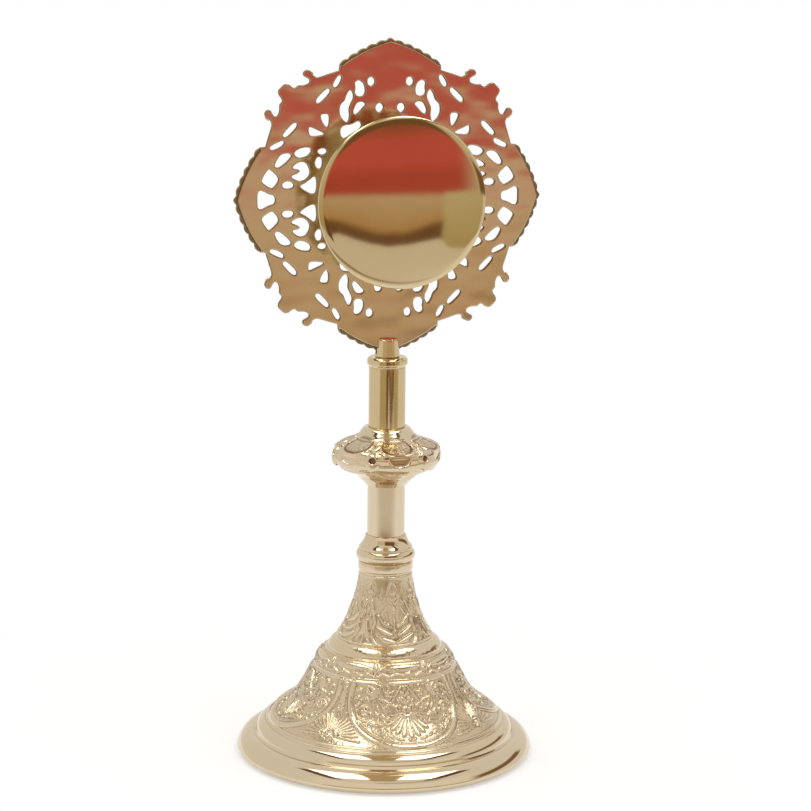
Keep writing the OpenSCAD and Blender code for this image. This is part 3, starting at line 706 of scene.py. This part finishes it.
def knop_heights(turn, up, top):
    """The heights and the ground of the knop, where it is rougher and darkened as painted shade: ridges,
    medallions, shields and pits, gaps, and flat faces.
    """
    lobe_turn = folded(turn, 6)
    across = lobe_turn * KNOP_MM_PER_DEGREE
    zone = np.array(knop_zone)
    climb = climb_of(zone)
    waist, level = np.interp(up, climb, zone[:, 0]), np.interp(up, climb, zone[:, 1])
    grooves, leaves = raised(across, up, knop_grooves)[0], raised(across, up, medal_leaves)[0]
    height = raised(across, up, knop_ridges)[0]
    inside = np.interp(up, [p[1] for p in medal_edge[::-1]], [p[0] for p in medal_edge[::-1]]) - across
    medal = step_up(inside, 0.5) * step_up(MEDAL_HIGH - up) * step_up(up - MEDAL_LOW)
    height = height * (1 - medal) + (leaves - MEDAL_SUNK) * medal - grooves
    boss = raised(across, up, shield_boss)[0]
    pit = step_up(PIT_RADIUS - np.hypot(across - PIT_TURN * KNOP_MM_PER_DEGREE, up - PIT_HEIGHT), 0.5)
    height = np.maximum(height, boss) - PIT_DEPTH * pit
    gap = (step_up(lobe_turn - GAP_TURN, GAP_SOFT) * step_up(GAP_TOP - level, GAP_TOP_SOFT)
           * step_up(level - GAP_FOOT, GAP_FOOT_SOFT))
    height -= GAP_DEPTH * gap
    low_round = np.clip((level - WINDOW_LOW) / (WINDOW_HIGH - WINDOW_LOW), 0, 1)
    half_turn = WINDOW_HALF_TURN * np.sqrt(np.clip(1 - (1 - low_round) ** 3, 0, 1))
    window = (step_up((half_turn - lobe_turn) * KNOP_MM_PER_DEGREE, 0.35) * step_up(level - WINDOW_LOW)
              * step_up(WINDOW_HIGH - level, 0.25))
    face = WINDOW_LOW_RADIUS + (WINDOW_HIGH_RADIUS - WINDOW_LOW_RADIUS) * low_round
    flat = face / np.cos(np.radians(lobe_turn)) - waist
    height = height * (1 - window) + np.minimum(flat, 0) * window
    # Painted shade: the sunk medallions, their grooves and the pits are darkened.
    ground = np.clip(medal * (0.1 + 0.3 * ground_of(leaves)) + 2 * grooves + pit, 0, 1)
    fade = np.clip(np.minimum(up, top - up) / KNOP_MARGIN, 0, 1)
    return height * fade, ground * fade


knop = turned("knop_cast", [(8.6, 117)] + knop_zone + [(9.3, 142), (8.2, 142), (7.8, 141.6), (7.8, 140), (6, 140),
                                                       (6, 120), (8.05, 120), (8.05, 117)], 600)
emboss(knop, knop_zone, knop_heights)
settle(knop, "stand", ["knop"], knop_brass)

# %% [markdown]
# ## The rosette
# A cast plate with four scalloped lobes, four leaves and dozens of openings. Its outline is taken from the
# CAD node: a copy of its back face is merged and cut down to its rims, and the rims become a flat curve.
# A curve that is filled, given thickness and a round edge makes soft-edged openings at once, which a Bevel
# modifier can't do on a plate full of thin triangles. The back layer stops short of the lobes' scallops, so
# that the lumps of the front border show behind it. No wheel reached the rims, so they are rougher, and their
# colour is darkened as painted shade. The border's back is rough and darker too, as cast skin.

# %% Rosette
LOBE_CORNER, LOBE_TIP, LOBE_RADIUS = np.array([22, 55.4]), np.array([0, 66.0]), 60.0
LOBE_REACH, LOBE_FOOT, SCALLOP_MIDDLE, SCALLOP_NEAR = 22.2, 55, 0.35, 0.8
BACK_FACING, FLAT, RIM_TILT, RIM_SOFT = -0.9, 0.999, 0.98, 0.2
lobe_chord = LOBE_CORNER - LOBE_TIP
lobe_side = np.array([lobe_chord[1], -lobe_chord[0]]) / np.hypot(*lobe_chord)
lobe_depth = math.sqrt(LOBE_RADIUS ** 2 - (lobe_chord @ lobe_chord) / 4)
lobe_centre = (LOBE_CORNER + LOBE_TIP) / 2 + lobe_side * lobe_depth


def drawn_in(x, y, inset):
    """A point of the plate's rim, moved in by inset if it is on a scalloped lobe."""
    small, large = sorted((abs(x), abs(y)))
    away = np.array([small, large]) - lobe_centre
    reach = np.hypot(*away)
    if abs(reach - LOBE_RADIUS + SCALLOP_MIDDLE) > SCALLOP_NEAR or small > LOBE_REACH or large < LOBE_FOOT:
        return x, y
    small, large = lobe_centre + away / reach * (LOBE_RADIUS - inset)
    small = max(small, 0)
    if abs(x) > abs(y):
        small, large = large, small
    return math.copysign(small, x), math.copysign(large, y)


def plate_layer(name, behind, ahead, edge, inset, unpolished_back):
    """A layer of the plate between two depths behind its middle, with a round edge, all in mm."""
    layer = bpy.data.objects.new(name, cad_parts["rosette_plate"].data.copy())
    bpy.context.scene.collection.objects.link(layer)
    take_up(layer)
    bpy.ops.object.mode_set(mode="EDIT")
    bpy.ops.mesh.select_mode(type="FACE")
    bpy.ops.mesh.select_all(action="SELECT")
    bpy.ops.mesh.remove_doubles(threshold=0.002 * MM)
    bpy.ops.mesh.select_all(action="DESELECT")
    bpy.ops.object.mode_set(mode="OBJECT")
    for face in layer.data.polygons:
        face.select = face.normal.y > BACK_FACING
    bpy.ops.object.mode_set(mode="EDIT")
    bpy.ops.mesh.delete(type="FACE")
    bpy.ops.mesh.select_all(action="SELECT")
    bpy.ops.mesh.region_to_loop()
    bpy.ops.mesh.select_all(action="INVERT")
    bpy.ops.mesh.delete(type="EDGE")
    bpy.ops.object.mode_set(mode="OBJECT")
    for vertex in layer.data.vertices:
        x, y = vertex.co.x / MM, vertex.co.z / MM - CAPSULE_HEIGHT
        if inset:
            x, y = drawn_in(x, y, inset)
        vertex.co = (x * MM, y * MM, 0)
    bpy.ops.object.convert(target="CURVE")
    rims = layer.data
    rims.dimensions, rims.fill_mode = "2D", "BOTH"
    rims.bevel_depth, rims.bevel_resolution, rims.offset = edge * MM, 3, -edge * MM
    rims.extrude = ((behind - ahead) / 2 - edge) * MM
    print(name, len(rims.splines), "rims")
    bpy.ops.object.convert(target="MESH")
    layer = bpy.context.object
    layer.location = (0, -(behind + ahead) / 2 * MM, CAPSULE_HEIGHT * MM)
    layer.rotation_euler = (math.pi / 2, 0, 0)
    bpy.ops.object.transform_apply(location=True, rotation=True, scale=True)
    clean()
    bpy.ops.object.shade_smooth()
    for face in layer.data.polygons:
        face.use_smooth = abs(face.normal.y) < FLAT
    tilt = np.array([vertex.normal.y for vertex in layer.data.vertices])
    # Painted shade on the rims: their colour is darkened. On the border the back is darker cast skin as well.
    mark_ground(layer, np.clip((RIM_TILT - (tilt if unpolished_back else np.abs(tilt))) / RIM_SOFT, 0, 1))
    return layer


rosette = plate_layer("rosette_back", 1.0, -0.1, 0.5, 1.5, False)
settle(rosette, "head", ["rosette_plate"], plate_brass)
rosette_front = plate_layer("rosette_front", 0.25, -1.0, 0.55, 0, True)
settle(rosette_front, "head", ["rosette_plate"], border_brass)

# %% [markdown]
# ## The rosette's front
# The lumps that show behind the lobes' edges are the backs of a beaded border, so the front gets a bead on
# each lump, a rib inside the border, and ribs down the middle of the lobes and leaves. A quarter is listed, and
# turning and mirroring it gives the rest.

# %% Beads and ribs
BEAD, BEAD_INSET, BEAD_DEPTH, RIB, RIB_INSET, FRONT = 1.4, 0.2, 0.6, 0.65, 3.7, 1.0
lobe_start, lobe_end = (math.atan2(corner[1] - lobe_centre[1], corner[0] - lobe_centre[0])
                        for corner in (LOBE_TIP, LOBE_CORNER))


def along_lobe(reach, turns):
    """Points at this reach from the lobe's centre of curvature. The first is put on the lobe's middle."""
    points = [lobe_centre + reach * np.array([math.cos(turn), math.sin(turn)]) for turn in turns]
    points[0][0] = 0
    return points


border_rib = along_lobe(LOBE_RADIUS - RIB_INSET, np.linspace(lobe_start - 0.016, lobe_end + 0.04, 14))
leaf_rib = [(30.5, 30.5), (35, 35), (40, 40), (44, 44)]
long_rib, short_rib = [(0, 33), (0, 45), (0, 57)], [(0, 32.5), (0, 39), (0, 45.5)]
bead_turns = np.linspace(lobe_start, lobe_end, 12)[:11:2]
half_beads = [(x, y, BEAD) for x, y in along_lobe(LOBE_RADIUS - BEAD - BEAD_INSET, bead_turns)]
half_beads += [(33.6, 51.3, 1.3), (42.9, 42.9, 1.9)]
lines = bpy.data.curves.new("rosette_beading", "CURVE")
lines.dimensions, lines.bevel_depth, lines.bevel_resolution, lines.use_fill_caps = "3D", RIB * MM, 3, True
beads = set()
for quarter in range(4):
    ahead = np.array([[0, 1], [-1, 0]] if quarter % 2 else [[1, 0], [0, 1]]) * (1 if quarter < 2 else -1)
    for flip in (1, -1):
        middle_ribs = [leaf_rib, short_rib if quarter % 2 else long_rib]
        for path in [border_rib] + (middle_ribs if flip > 0 else []):
            spline = lines.splines.new("POLY")
            spline.points.add(len(path) - 1)
            for number, (point, (x, y)) in enumerate(zip(spline.points, path)):
                x, y = np.array([x * flip, y]) @ ahead
                point.co = (x * MM, FRONT * MM, (CAPSULE_HEIGHT + y) * MM, 1)
                point.radius = 0.5 if number == len(path) - 1 else 1
        for x, y, size in half_beads:
            x, y = np.array([x * flip, y]) @ ahead
            beads.add((round(float(x), 2) + 0.0, round(float(y), 2) + 0.0, size))
beading = bpy.data.objects.new("rosette_beading", lines)
bpy.context.scene.collection.objects.link(beading)
take_up(beading)
bpy.ops.object.convert(target="MESH")
beading = bpy.context.object
balls = []
for x, y, size in sorted(beads):
    bpy.ops.mesh.primitive_uv_sphere_add(segments=16, ring_count=10, radius=size * MM, scale=(1, BEAD_DEPTH, 1),
                                         location=(x * MM, FRONT * MM, (CAPSULE_HEIGHT + y) * MM))
    balls.append(bpy.context.object)
take_up(beading)
for ball in balls:
    ball.select_set(True)
bpy.ops.object.join()
bpy.ops.object.shade_smooth()
settle(beading, "head", ["rosette_plate"], plate_brass)
print("beads:", len(beads))

# %% [markdown]
# ## The ferrule
# A stub on the head with a spigot below, which turns in the cap, and a slot above, which the plate is brazed
# into. The slot is cut with a box and a Boolean modifier.

# %% Ferrule
ferrule = turned("head_ferrule_turned", eased([(0, 159), (3.6, 159), (4, 159.4), (4, 172.05), (5.2, 172.05),
                                               (4.7, 179.2), (4.2, 179.8), (0, 179.8)], 0.2), 96)
SLOT_MIDDLE, SLOT_SIZE = (0, 0, 0.183), (0.02, 0.002, 0.02)
deselect()
bpy.ops.mesh.primitive_cube_add(size=1, location=SLOT_MIDDLE, scale=SLOT_SIZE)
saw = bpy.context.object
take_up(ferrule)
slot_cut = ferrule.modifiers.new("slot", "BOOLEAN")
slot_cut.object, slot_cut.operation, slot_cut.solver = saw, "DIFFERENCE", "EXACT"
bpy.ops.object.modifier_apply(modifier="slot")
bpy.data.objects.remove(saw)
bpy.ops.object.shade_smooth_by_angle(angle=SMOOTH_ANGLE)
settle(ferrule, "head", ["head_ferrule"], tube_brass)

# %% [markdown]
# ## The capsule
# A drum through the plate, a bezel that clamps the window in front, and a sleeve on the lid that plugs into
# the drum. All are turned about the capsule's own axis, which lies level.

# %% Drum, bezel and sleeve
drum = turned("capsule_drum_turned", eased([(27, -2.4), (28.5, -2.4), (28.5, 1), (29.8, 1), (29.8, 2.6),
                                            (28.5, 2.6), (28.5, 20.5), (27, 20.5)]), 192, True)
settle(drum, "head", ["capsule_drum"], satin_brass)
bezel = turned("front_bezel_turned", eased([(28.5, -1), (30.2, -1)] + bow((30.2, -4.1), (28.8, -5.7), -0.3, 6)
               + [(28.4, -5.4), (28, -5.4)] + bow((27.6, -5.7), (24.6, -4.9), 0.3, 8)
               + [(24.6, -4.5), (28.5, -4.5)], 0.15), 192, True)
settle(bezel, "head", ["front_bezel"], tube_brass)
sleeve = turned("lid_sleeve_turned", eased([(26.14, 11.55), (26.94, 11.55), (26.94, 20.55), (26.14, 20.55)]),
                192, True)
settle(sleeve, "lid", ["lid_sleeve"], tube_brass)

# %% [markdown]
# ## The back lid
# The largest mirror of the object: a spun disc with a low dome that bends down to a thin edge. Many points
# along the dome keep its reflections free of rings.

# %% Back lid
LID_APEX, DOME_RADIUS = 25.55, 178.0
lid_edge = flowing([(34.9, 20.55), (35.32, 20.72), (35.5, 21.08), (35.4, 21.42), (35.05, 21.76), (34.3, 22.1),
                    (33.6, 22.33), (33, 22.49)], 0.12)
dome = [(radius, LID_APEX - radius ** 2 / (2 * DOME_RADIUS)) for radius in np.linspace(32.2, 0, 40)]
back_lid = turned("back_lid_spun", lid_edge + dome + [(0, 24.15), (25.84, 21.75), (25.84, 20.55)], 192, True)
settle(back_lid, "lid", ["back_lid"], lid_brass)

# %% [markdown]
# ## The relic pad
# A round velvet pad, stuffed so that it crowns between its drawn-in edge. A turned shape that is a little too
# small is remeshed into even cells and blown up by Blender's cloth, as stuffing does it. Its back stays
# flat on the card, and no point may move further than a millimetre.

# %% Relic pad
PAD_CAP, PAD_CELL, PAD_BACK = 1.0 * MM, 1.1 * MM, -11.2 * MM
STUFFING_PRESSURE, STUFFING_FRAMES = 4, 20
pad = turned("relic_pad_velvet", [(0, 11.5), (22.6, 11.5), (23.2, 10.6), (23.2, 9.6), (22.4, 8.6), (20.6, 8.1),
                                  (15, 7.5), (8, 7.1), (0, 6.9)], 96, True)
remesh = pad.modifiers.new("cells", "REMESH")
remesh.mode, remesh.voxel_size = "VOXEL", PAD_CELL
bpy.ops.object.modifier_apply(modifier="cells")
before = points_of(pad)
resting = pad.vertex_groups.new(name="on_card")
resting.add([v.index for v in pad.data.vertices if v.co.y < PAD_BACK], 1.0, "REPLACE")
cloth = pad.modifiers.new("stuffing", "CLOTH")
cloth.settings.use_pressure = True
cloth.settings.uniform_pressure_force = STUFFING_PRESSURE
cloth.settings.effector_weights.gravity = 0
cloth.settings.vertex_group_mass = "on_card"
cloth.settings.quality = 6
cloth.point_cache.frame_start, cloth.point_cache.frame_end = 1, STUFFING_FRAMES
for number in range(1, STUFFING_FRAMES + 1):
    bpy.context.scene.frame_set(number)
bpy.ops.object.modifier_apply(modifier="stuffing")
bpy.context.scene.frame_set(1)
moved = points_of(pad) - before
far = np.linalg.norm(moved, axis=1, keepdims=True)
moved = moved * np.minimum(1, PAD_CAP / np.maximum(far, 1e-9))
pad.data.vertices.foreach_set("co", (before + moved).ravel())
smooth = pad.modifiers.new("even", "SMOOTH")
smooth.factor, smooth.iterations = 0.5, 4
bpy.ops.object.modifier_apply(modifier="even")
finer = pad.modifiers.new("finer", "SUBSURF")
finer.levels = finer.render_levels = 1
bpy.ops.object.modifier_apply(modifier="finer")
bpy.ops.object.shade_smooth()
settle(pad, "lid", ["relic_pad"], wine_velvet)
print("pad moved at most, mm:", round(float(far.max()) / MM, 2))

# %% [markdown]
# ## Pieces that stay as the CAD has them
# The rod, its nut and washer, the window, its rubber ring and the card are right as they are and only need
# their materials.

# %% Finishes of the CAD pieces
CAD_FINISHES = {"foot_washer": zinc_steel, "foot_nut": zinc_steel, "tie_rod": zinc_steel,
                "window_glass": clear_glass, "glass_gasket": black_rubber, "pad_board": grey_card}
for node, finish in CAD_FINISHES.items():
    for material_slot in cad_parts[node].material_slots:
        material_slot.material = finish
print("CAD pieces kept:", len(CAD_FINISHES))

# %% [markdown]
# ## Floor
# A white table. Near the foot it is a matt surface that takes the shadow, and further out it fades into the
# white of the background. It ends some 0.75 m away, with a rounded corner to the right of the camera, so that
# the metal also shows what is beyond its edge. Each pair is a turn to the right of the camera, in degrees, and
# the table's reach there, in metres. On the camera's side reflections see it a little greyer, as painted shade,
# and it has a brown ring that only they see, a painted reflection which gives the foot's bands their darker
# stripes.

# %% Floor
FLOOR_FADE, FRONT_FADE, RING_BEGIN, RING_END = (0.06, 0.25), (-0.15, -0.45), (0.22, 0.32), (0.43, 0.37)
TABLE_EDGE = [(-60, 0.7), (6, 0.7), (8.5, 0.94), (16, 0.79), (20, 0.74), (25, 0.705), (31, 0.725), (42, 0.835),
              (45, 0.7)]
deselect()
bpy.ops.mesh.primitive_circle_add(vertices=256, radius=1, fill_type="NGON", location=(0, 0, 0))
floor = bpy.context.object
floor.name = "floor"
for vertex in floor.data.vertices:
    facing = Matrix.Rotation(-SIDE_TURN, 4, "Z") @ vertex.co
    vertex.co *= float(np.interp(math.degrees(math.atan2(facing.x, -facing.y)), *zip(*TABLE_EDGE)))
print("floor points:", len(floor.data.vertices))

# %% Floor finish
paper, tree = new_finish("paper_white_matt")
place = add(tree, "TexCoord")
away = add(tree, "VectorMath", {0: (place, "Object")}, operation="LENGTH")
fade = add(tree, "MapRange", {"Value": (away, "Value"), "From Min": FLOOR_FADE[0], "From Max": FLOOR_FADE[1],
                              "To Min": 0.45}, interpolation_type="SMOOTHSTEP")
matt = add(tree, "BsdfDiffuse", {"Color": linear("#F4F4F3")})
facing = add(tree, "VectorRotate", {"Vector": (place, "Object"), "Angle": -SIDE_TURN}, rotation_type="Z_AXIS")
parts = add(tree, "SeparateXYZ", {0: (facing, "Vector")})
ray = add(tree, "LightPath")
# Painted shade, seen only in reflections: the floor is greyer on the camera's side.
front = add(tree, "MapRange", {"Value": (parts, "Y"), "From Min": FRONT_FADE[0], "From Max": FRONT_FADE[1],
                               "To Max": (ray, "Is Glossy Ray")}, interpolation_type="SMOOTHSTEP")
tone = add(tree, "Mix", {"Factor": (front, "Result"), "A": linear("#FFFFFF"), "B": linear("#E2DBD2")},
           data_type="RGBA")
# Painted reflection: a brown ring on the floor that only reflections see.
begin = add(tree, "MapRange", {"Value": (away, "Value"), "From Min": RING_BEGIN[0], "From Max": RING_BEGIN[1],
                               "To Max": (front, "Result")}, interpolation_type="SMOOTHSTEP")
ring = add(tree, "MapRange", {"Value": (away, "Value"), "From Min": RING_END[0], "From Max": RING_END[1],
                              "To Max": (begin, "Result")}, interpolation_type="SMOOTHSTEP")
tone = add(tree, "Mix", {"Factor": (ring, "Result"), "A": (tone, "Result"), "B": linear("#8A6C3C")},
           data_type="RGBA")
white = add(tree, "Emission", {"Color": (tone, "Result"), "Strength": 1.0})
seen = add(tree, "Math", {0: (ray, "Is Camera Ray"), 1: (ray, "Is Glossy Ray")}, operation="MAXIMUM")
seen = add(tree, "Math", {0: (seen, "Value"), 1: (ray, "Is Transmission Ray")}, operation="MAXIMUM")
share = add(tree, "Math", {0: (seen, "Value"), 1: (fade, "Result")}, operation="MULTIPLY")
both = add(tree, "MixShader", {0: (share, "Value"), 1: (matt, "BSDF"), 2: (white, "Emission")})
add(tree, "OutputMaterial", {"Surface": (both, "Shader")})
floor.data.materials.append(paper)

# %% [markdown]
# ## Studio light
# Polished metal only shows what is round it, so the studio is built like a photographer's light box: white
# walls all round, and two lamp panels in its roof with a gap between them. The world's own colour serves as
# the walls, because their light is even and nothing shows where they stand.

# %% World and lamps
WALL_WHITE = "#EEEBE6"
world = bpy.data.worlds.new("light_box")
bpy.context.scene.world = world
world.use_nodes = True
tree = world.node_tree
tree.nodes.clear()
ray = add(tree, "LightPath")
shown = add(tree, "Mix", {"Factor": (ray, "Is Camera Ray"), "A": linear(WALL_WHITE), "B": linear("#FFFFFF")},
            data_type="RGBA")
light = add(tree, "Background", {"Color": (shown, "Result"), "Strength": 1.0})
add(tree, "OutputWorld", {"Surface": (light, "Background")})

PANEL_WIDTH, PANEL_DEPTH, PANEL_POWER = 0.40, 0.70, 2.5
PANEL_HEIGHT, PANEL_SIDE, PANEL_FORWARD = 1.0, 0.345, -0.1
for name, side in (("roof_panel_left", -PANEL_SIDE), ("roof_panel_right", PANEL_SIDE)):
    lamp = bpy.data.lights.new(name, "AREA")
    lamp.shape, lamp.size, lamp.size_y, lamp.energy = "RECTANGLE", PANEL_WIDTH, PANEL_DEPTH, PANEL_POWER
    panel = bpy.data.objects.new(name, lamp)
    bpy.context.scene.collection.objects.link(panel)
    middle = Matrix.Translation((side, PANEL_FORWARD, PANEL_HEIGHT))
    panel.matrix_world = Matrix.Rotation(SIDE_TURN, 4, "Z") @ middle
print("lamps: 2")

# %% [markdown]
# ## The reflection card
# The light box is open on the camera's side, and what the metal mirrors there is painted on a curved card, in
# bands of height: a dark brown below the table's edge, gold browns over it, then a warm red, and brown again at
# the top. Far to the right it is plain brown at the head's height. Only reflections see the card, so it colours
# neither floor nor light. Two helpers start and end its finish, because the shelf and the strips need them too.

# %% Card tools
CARD_RADIUS, CARD_LOW, CARD_HIGH, SHELF_HEIGHT, SHELF_INNER = 0.95, -0.3, 1.1, 0.184, 0.25
SHELF_SOFT, TABLE_LEVEL, HEAD_LOW, HEAD_HIGH = 0.1, (0.15, 0.05), (0.18, 0.2), (0.43, 0.36)
CARD_BEHIND_CAMERA = [(-0.3, "#AE9B6E"), (0.0, "#C6B88E"), (0.25, "#D4CBB2"), (0.8, "#D8D0BC"),
                      (1.05, WALL_WHITE)]
CARD_TO_THE_RIGHT = [(-0.3, "#5E4530"), (0.005, "#7A5A3C"), (0.04, "#C49F74"), (0.12, "#C9B090"),
                     (0.168, "#CFBAA0"), (0.198, "#BC544A"), (0.27, "#BE554B"), (0.34, "#CF6158"),
                     (0.45, "#CF6158"), (0.55, "#7E5E40"), (0.95, "#7E5E40"), (1.05, WALL_WHITE)]
CARD_FAR_RIGHT, SHELF_PALE, FRAME_BROWN, GAP_BROWN = "#86694A", "#F8F4EC", "#6B4F36", "#C2AD80"


def card_paint(name):
    """A new card finish, its tree, the place on it, also as the camera sees it, and a window in turns."""
    finish, tree = new_finish(name)
    place = add(tree, "TexCoord")
    facing = add(tree, "VectorRotate", {"Vector": (place, "Object"), "Angle": -SIDE_TURN}, rotation_type="Z_AXIS")
    parts = add(tree, "SeparateXYZ", {0: (facing, "Vector")})
    ahead = add(tree, "Math", {0: (parts, "Y"), 1: -1.0}, operation="MULTIPLY")
    turn = add(tree, "Math", {0: (parts, "X"), 1: (ahead, "Value")}, operation="ARCTAN2")

    def between(start, full, full_end, end):
        """1 between the two full angles and 0 outside the outer ones, in degrees to the right of the camera."""
        steps = [add(tree, "MapRange", {"Value": (turn, "Value"), "From Min": math.radians(nought),
                                        "From Max": math.radians(one)}, interpolation_type="SMOOTHSTEP")
                 for nought, one in ((start, full), (end, full_end))]
        both = add(tree, "Math", {0: (steps[0], "Result"), 1: (steps[1], "Result")}, operation="MULTIPLY")
        return both, "Value"

    return finish, tree, place, parts, between


def show_in_metal(tree, colour, *shares):
    """Ends a card finish: it glows in this colour where all shares are 1, for reflections only."""
    ray = add(tree, "LightPath")
    there = (ray, "Is Glossy Ray")
    for share in shares:
        there = (add(tree, "Math", {0: there, 1: share}, operation="MULTIPLY"), "Value")
    glow = add(tree, "Emission", {"Color": colour, "Strength": 1.0})
    clear = add(tree, "BsdfTransparent")
    both = add(tree, "MixShader", {0: there, 1: (clear, "BSDF"), 2: (glow, "Emission")})
    add(tree, "OutputMaterial", {"Surface": (both, "Shader")})


# %% Reflection card
deselect()
bpy.ops.mesh.primitive_cylinder_add(vertices=120, radius=CARD_RADIUS, depth=CARD_HIGH - CARD_LOW,
                                    end_fill_type="NOTHING", location=(0, 0, (CARD_LOW + CARD_HIGH) / 2))
card = bpy.context.object
card.name = "reflection_card"
bpy.ops.object.transform_apply(location=True, rotation=True, scale=True)
card_finish, tree, place, parts, between = card_paint("card_painted_reflection")
sag = add(tree, "MapRange", {"Value": between(5, 25, 28, 46), "To Min": 0.045, "To Max": -0.03})
near_table = add(tree, "MapRange", {"Value": (parts, "Z"), "From Min": TABLE_LEVEL[0],
                                    "From Max": TABLE_LEVEL[1], "To Max": (sag, "Result")})
level = add(tree, "Math", {0: (parts, "Z"), 1: (near_table, "Result")}, operation="SUBTRACT")
climb = add(tree, "MapRange", {"Value": (level, "Value"), "From Min": CARD_LOW, "From Max": CARD_HIGH})
columns = []
for tones in (CARD_BEHIND_CAMERA, CARD_TO_THE_RIGHT):
    bands = add(tree, "ValToRGB", {"Fac": (climb, "Result")})
    stops = bands.color_ramp.elements
    while len(stops) < len(tones):
        stops.new(0.5)
    for stop, (height, tone) in zip(stops, tones):
        stop.position, stop.color = (height - CARD_LOW) / (CARD_HIGH - CARD_LOW), linear(tone)
    columns.append((bands, "Color"))
high = add(tree, "MapRange", {"Value": (parts, "Z"), "From Min": HEAD_LOW[0], "From Max": HEAD_LOW[1]})
column = add(tree, "MapRange", {"Value": (high, "Result"), "To Min": between(-8, -2, 41.5, 43),
                                "To Max": between(-8, -2, 46, 56)})
painted = add(tree, "Mix", {"Factor": (column, "Result"), "A": columns[0], "B": columns[1]}, data_type="RGBA")
head_level = add(tree, "MapRange", {"Value": (parts, "Z"), "From Min": HEAD_HIGH[0], "From Max": HEAD_HIGH[1],
                                    "To Max": (high, "Result")})
beyond = add(tree, "Math", {0: (head_level, "Result"), 1: between(54, 62, 130, 140)}, operation="MULTIPLY")
painted = add(tree, "Mix", {"Factor": (beyond, "Value"), "A": (painted, "Result"), "B": linear(CARD_FAR_RIGHT)},
              data_type="RGBA")
there = add(tree, "MapRange", {"Value": (head_level, "Result"), "To Min": between(-50, -40, 64, 80),
                               "To Max": between(-50, -40, 130, 140)})
show_in_metal(tree, (painted, "Result"), (there, "Result"))
card.data.materials.append(card_finish)
print("card bands:", len(CARD_BEHIND_CAMERA), len(CARD_TO_THE_RIGHT))

# %% [markdown]
# ## The reflection shelf
# A pale round shelf just over the stem's cap, open in the middle, keeps the card's red out of the stem and the
# foot. Only its underside glows, so the head above it doesn't see it.

# %% Reflection shelf
deselect()
bpy.ops.mesh.primitive_circle_add(vertices=120, radius=CARD_RADIUS, fill_type="NGON",
                                  location=(0, 0, SHELF_HEIGHT))
shelf = bpy.context.object
shelf.name = "reflection_shelf"
bpy.ops.object.transform_apply(location=True, rotation=True, scale=True)
# Painted reflection: a pale sheet that only reflections see.
shelf_finish, tree, place, parts, between = card_paint("shelf_painted_reflection")
away = add(tree, "VectorMath", {0: (place, "Object")}, operation="LENGTH")
outside = add(tree, "MapRange", {"Value": (away, "Value"), "From Min": SHELF_INNER,
                                 "From Max": SHELF_INNER + SHELF_SOFT}, interpolation_type="SMOOTHSTEP")
side = add(tree, "NewGeometry")
show_in_metal(tree, linear(SHELF_PALE), between(-60, -50, 64, 80), (outside, "Result"), (side, "Backfacing"))
shelf.data.materials.append(shelf_finish)
print("shelf height, m:", SHELF_HEIGHT)

# %% [markdown]
# ## The lamps' frames
# Brown strips lie beside the two lamp panels and a paler one between them. Polished metal shows them as dark
# lines beside its highlights, and nothing else sees them.

# %% Lamp frames
FRAME_WIDTH, FRAME_DEPTH, FRAME_FORWARD = 0.22, 0.9, -0.25
GAP_WIDTH = 2 * PANEL_SIDE - PANEL_WIDTH
beside = PANEL_SIDE + (PANEL_WIDTH + FRAME_WIDTH) / 2
for name, side, width, tone in (("panel_frame_left", -beside, FRAME_WIDTH, FRAME_BROWN),
                                ("panel_frame_right", beside, FRAME_WIDTH, FRAME_BROWN),
                                ("panel_gap", 0, GAP_WIDTH, GAP_BROWN)):
    deselect()
    bpy.ops.mesh.primitive_plane_add(size=1)
    border = bpy.context.object
    border.name = name
    middle = Matrix.Translation((side, FRAME_FORWARD, PANEL_HEIGHT)) @ Matrix.Diagonal((width, FRAME_DEPTH, 1, 1))
    border.matrix_world = Matrix.Rotation(SIDE_TURN, 4, "Z") @ middle
    bpy.ops.object.transform_apply(location=True, rotation=True, scale=True)
    border_finish, tree = new_finish(name + "_painted")
    show_in_metal(tree, linear(tone))
    border.data.materials.append(border_finish)
print("gap between the panels, m:", round(GAP_WIDTH, 3))
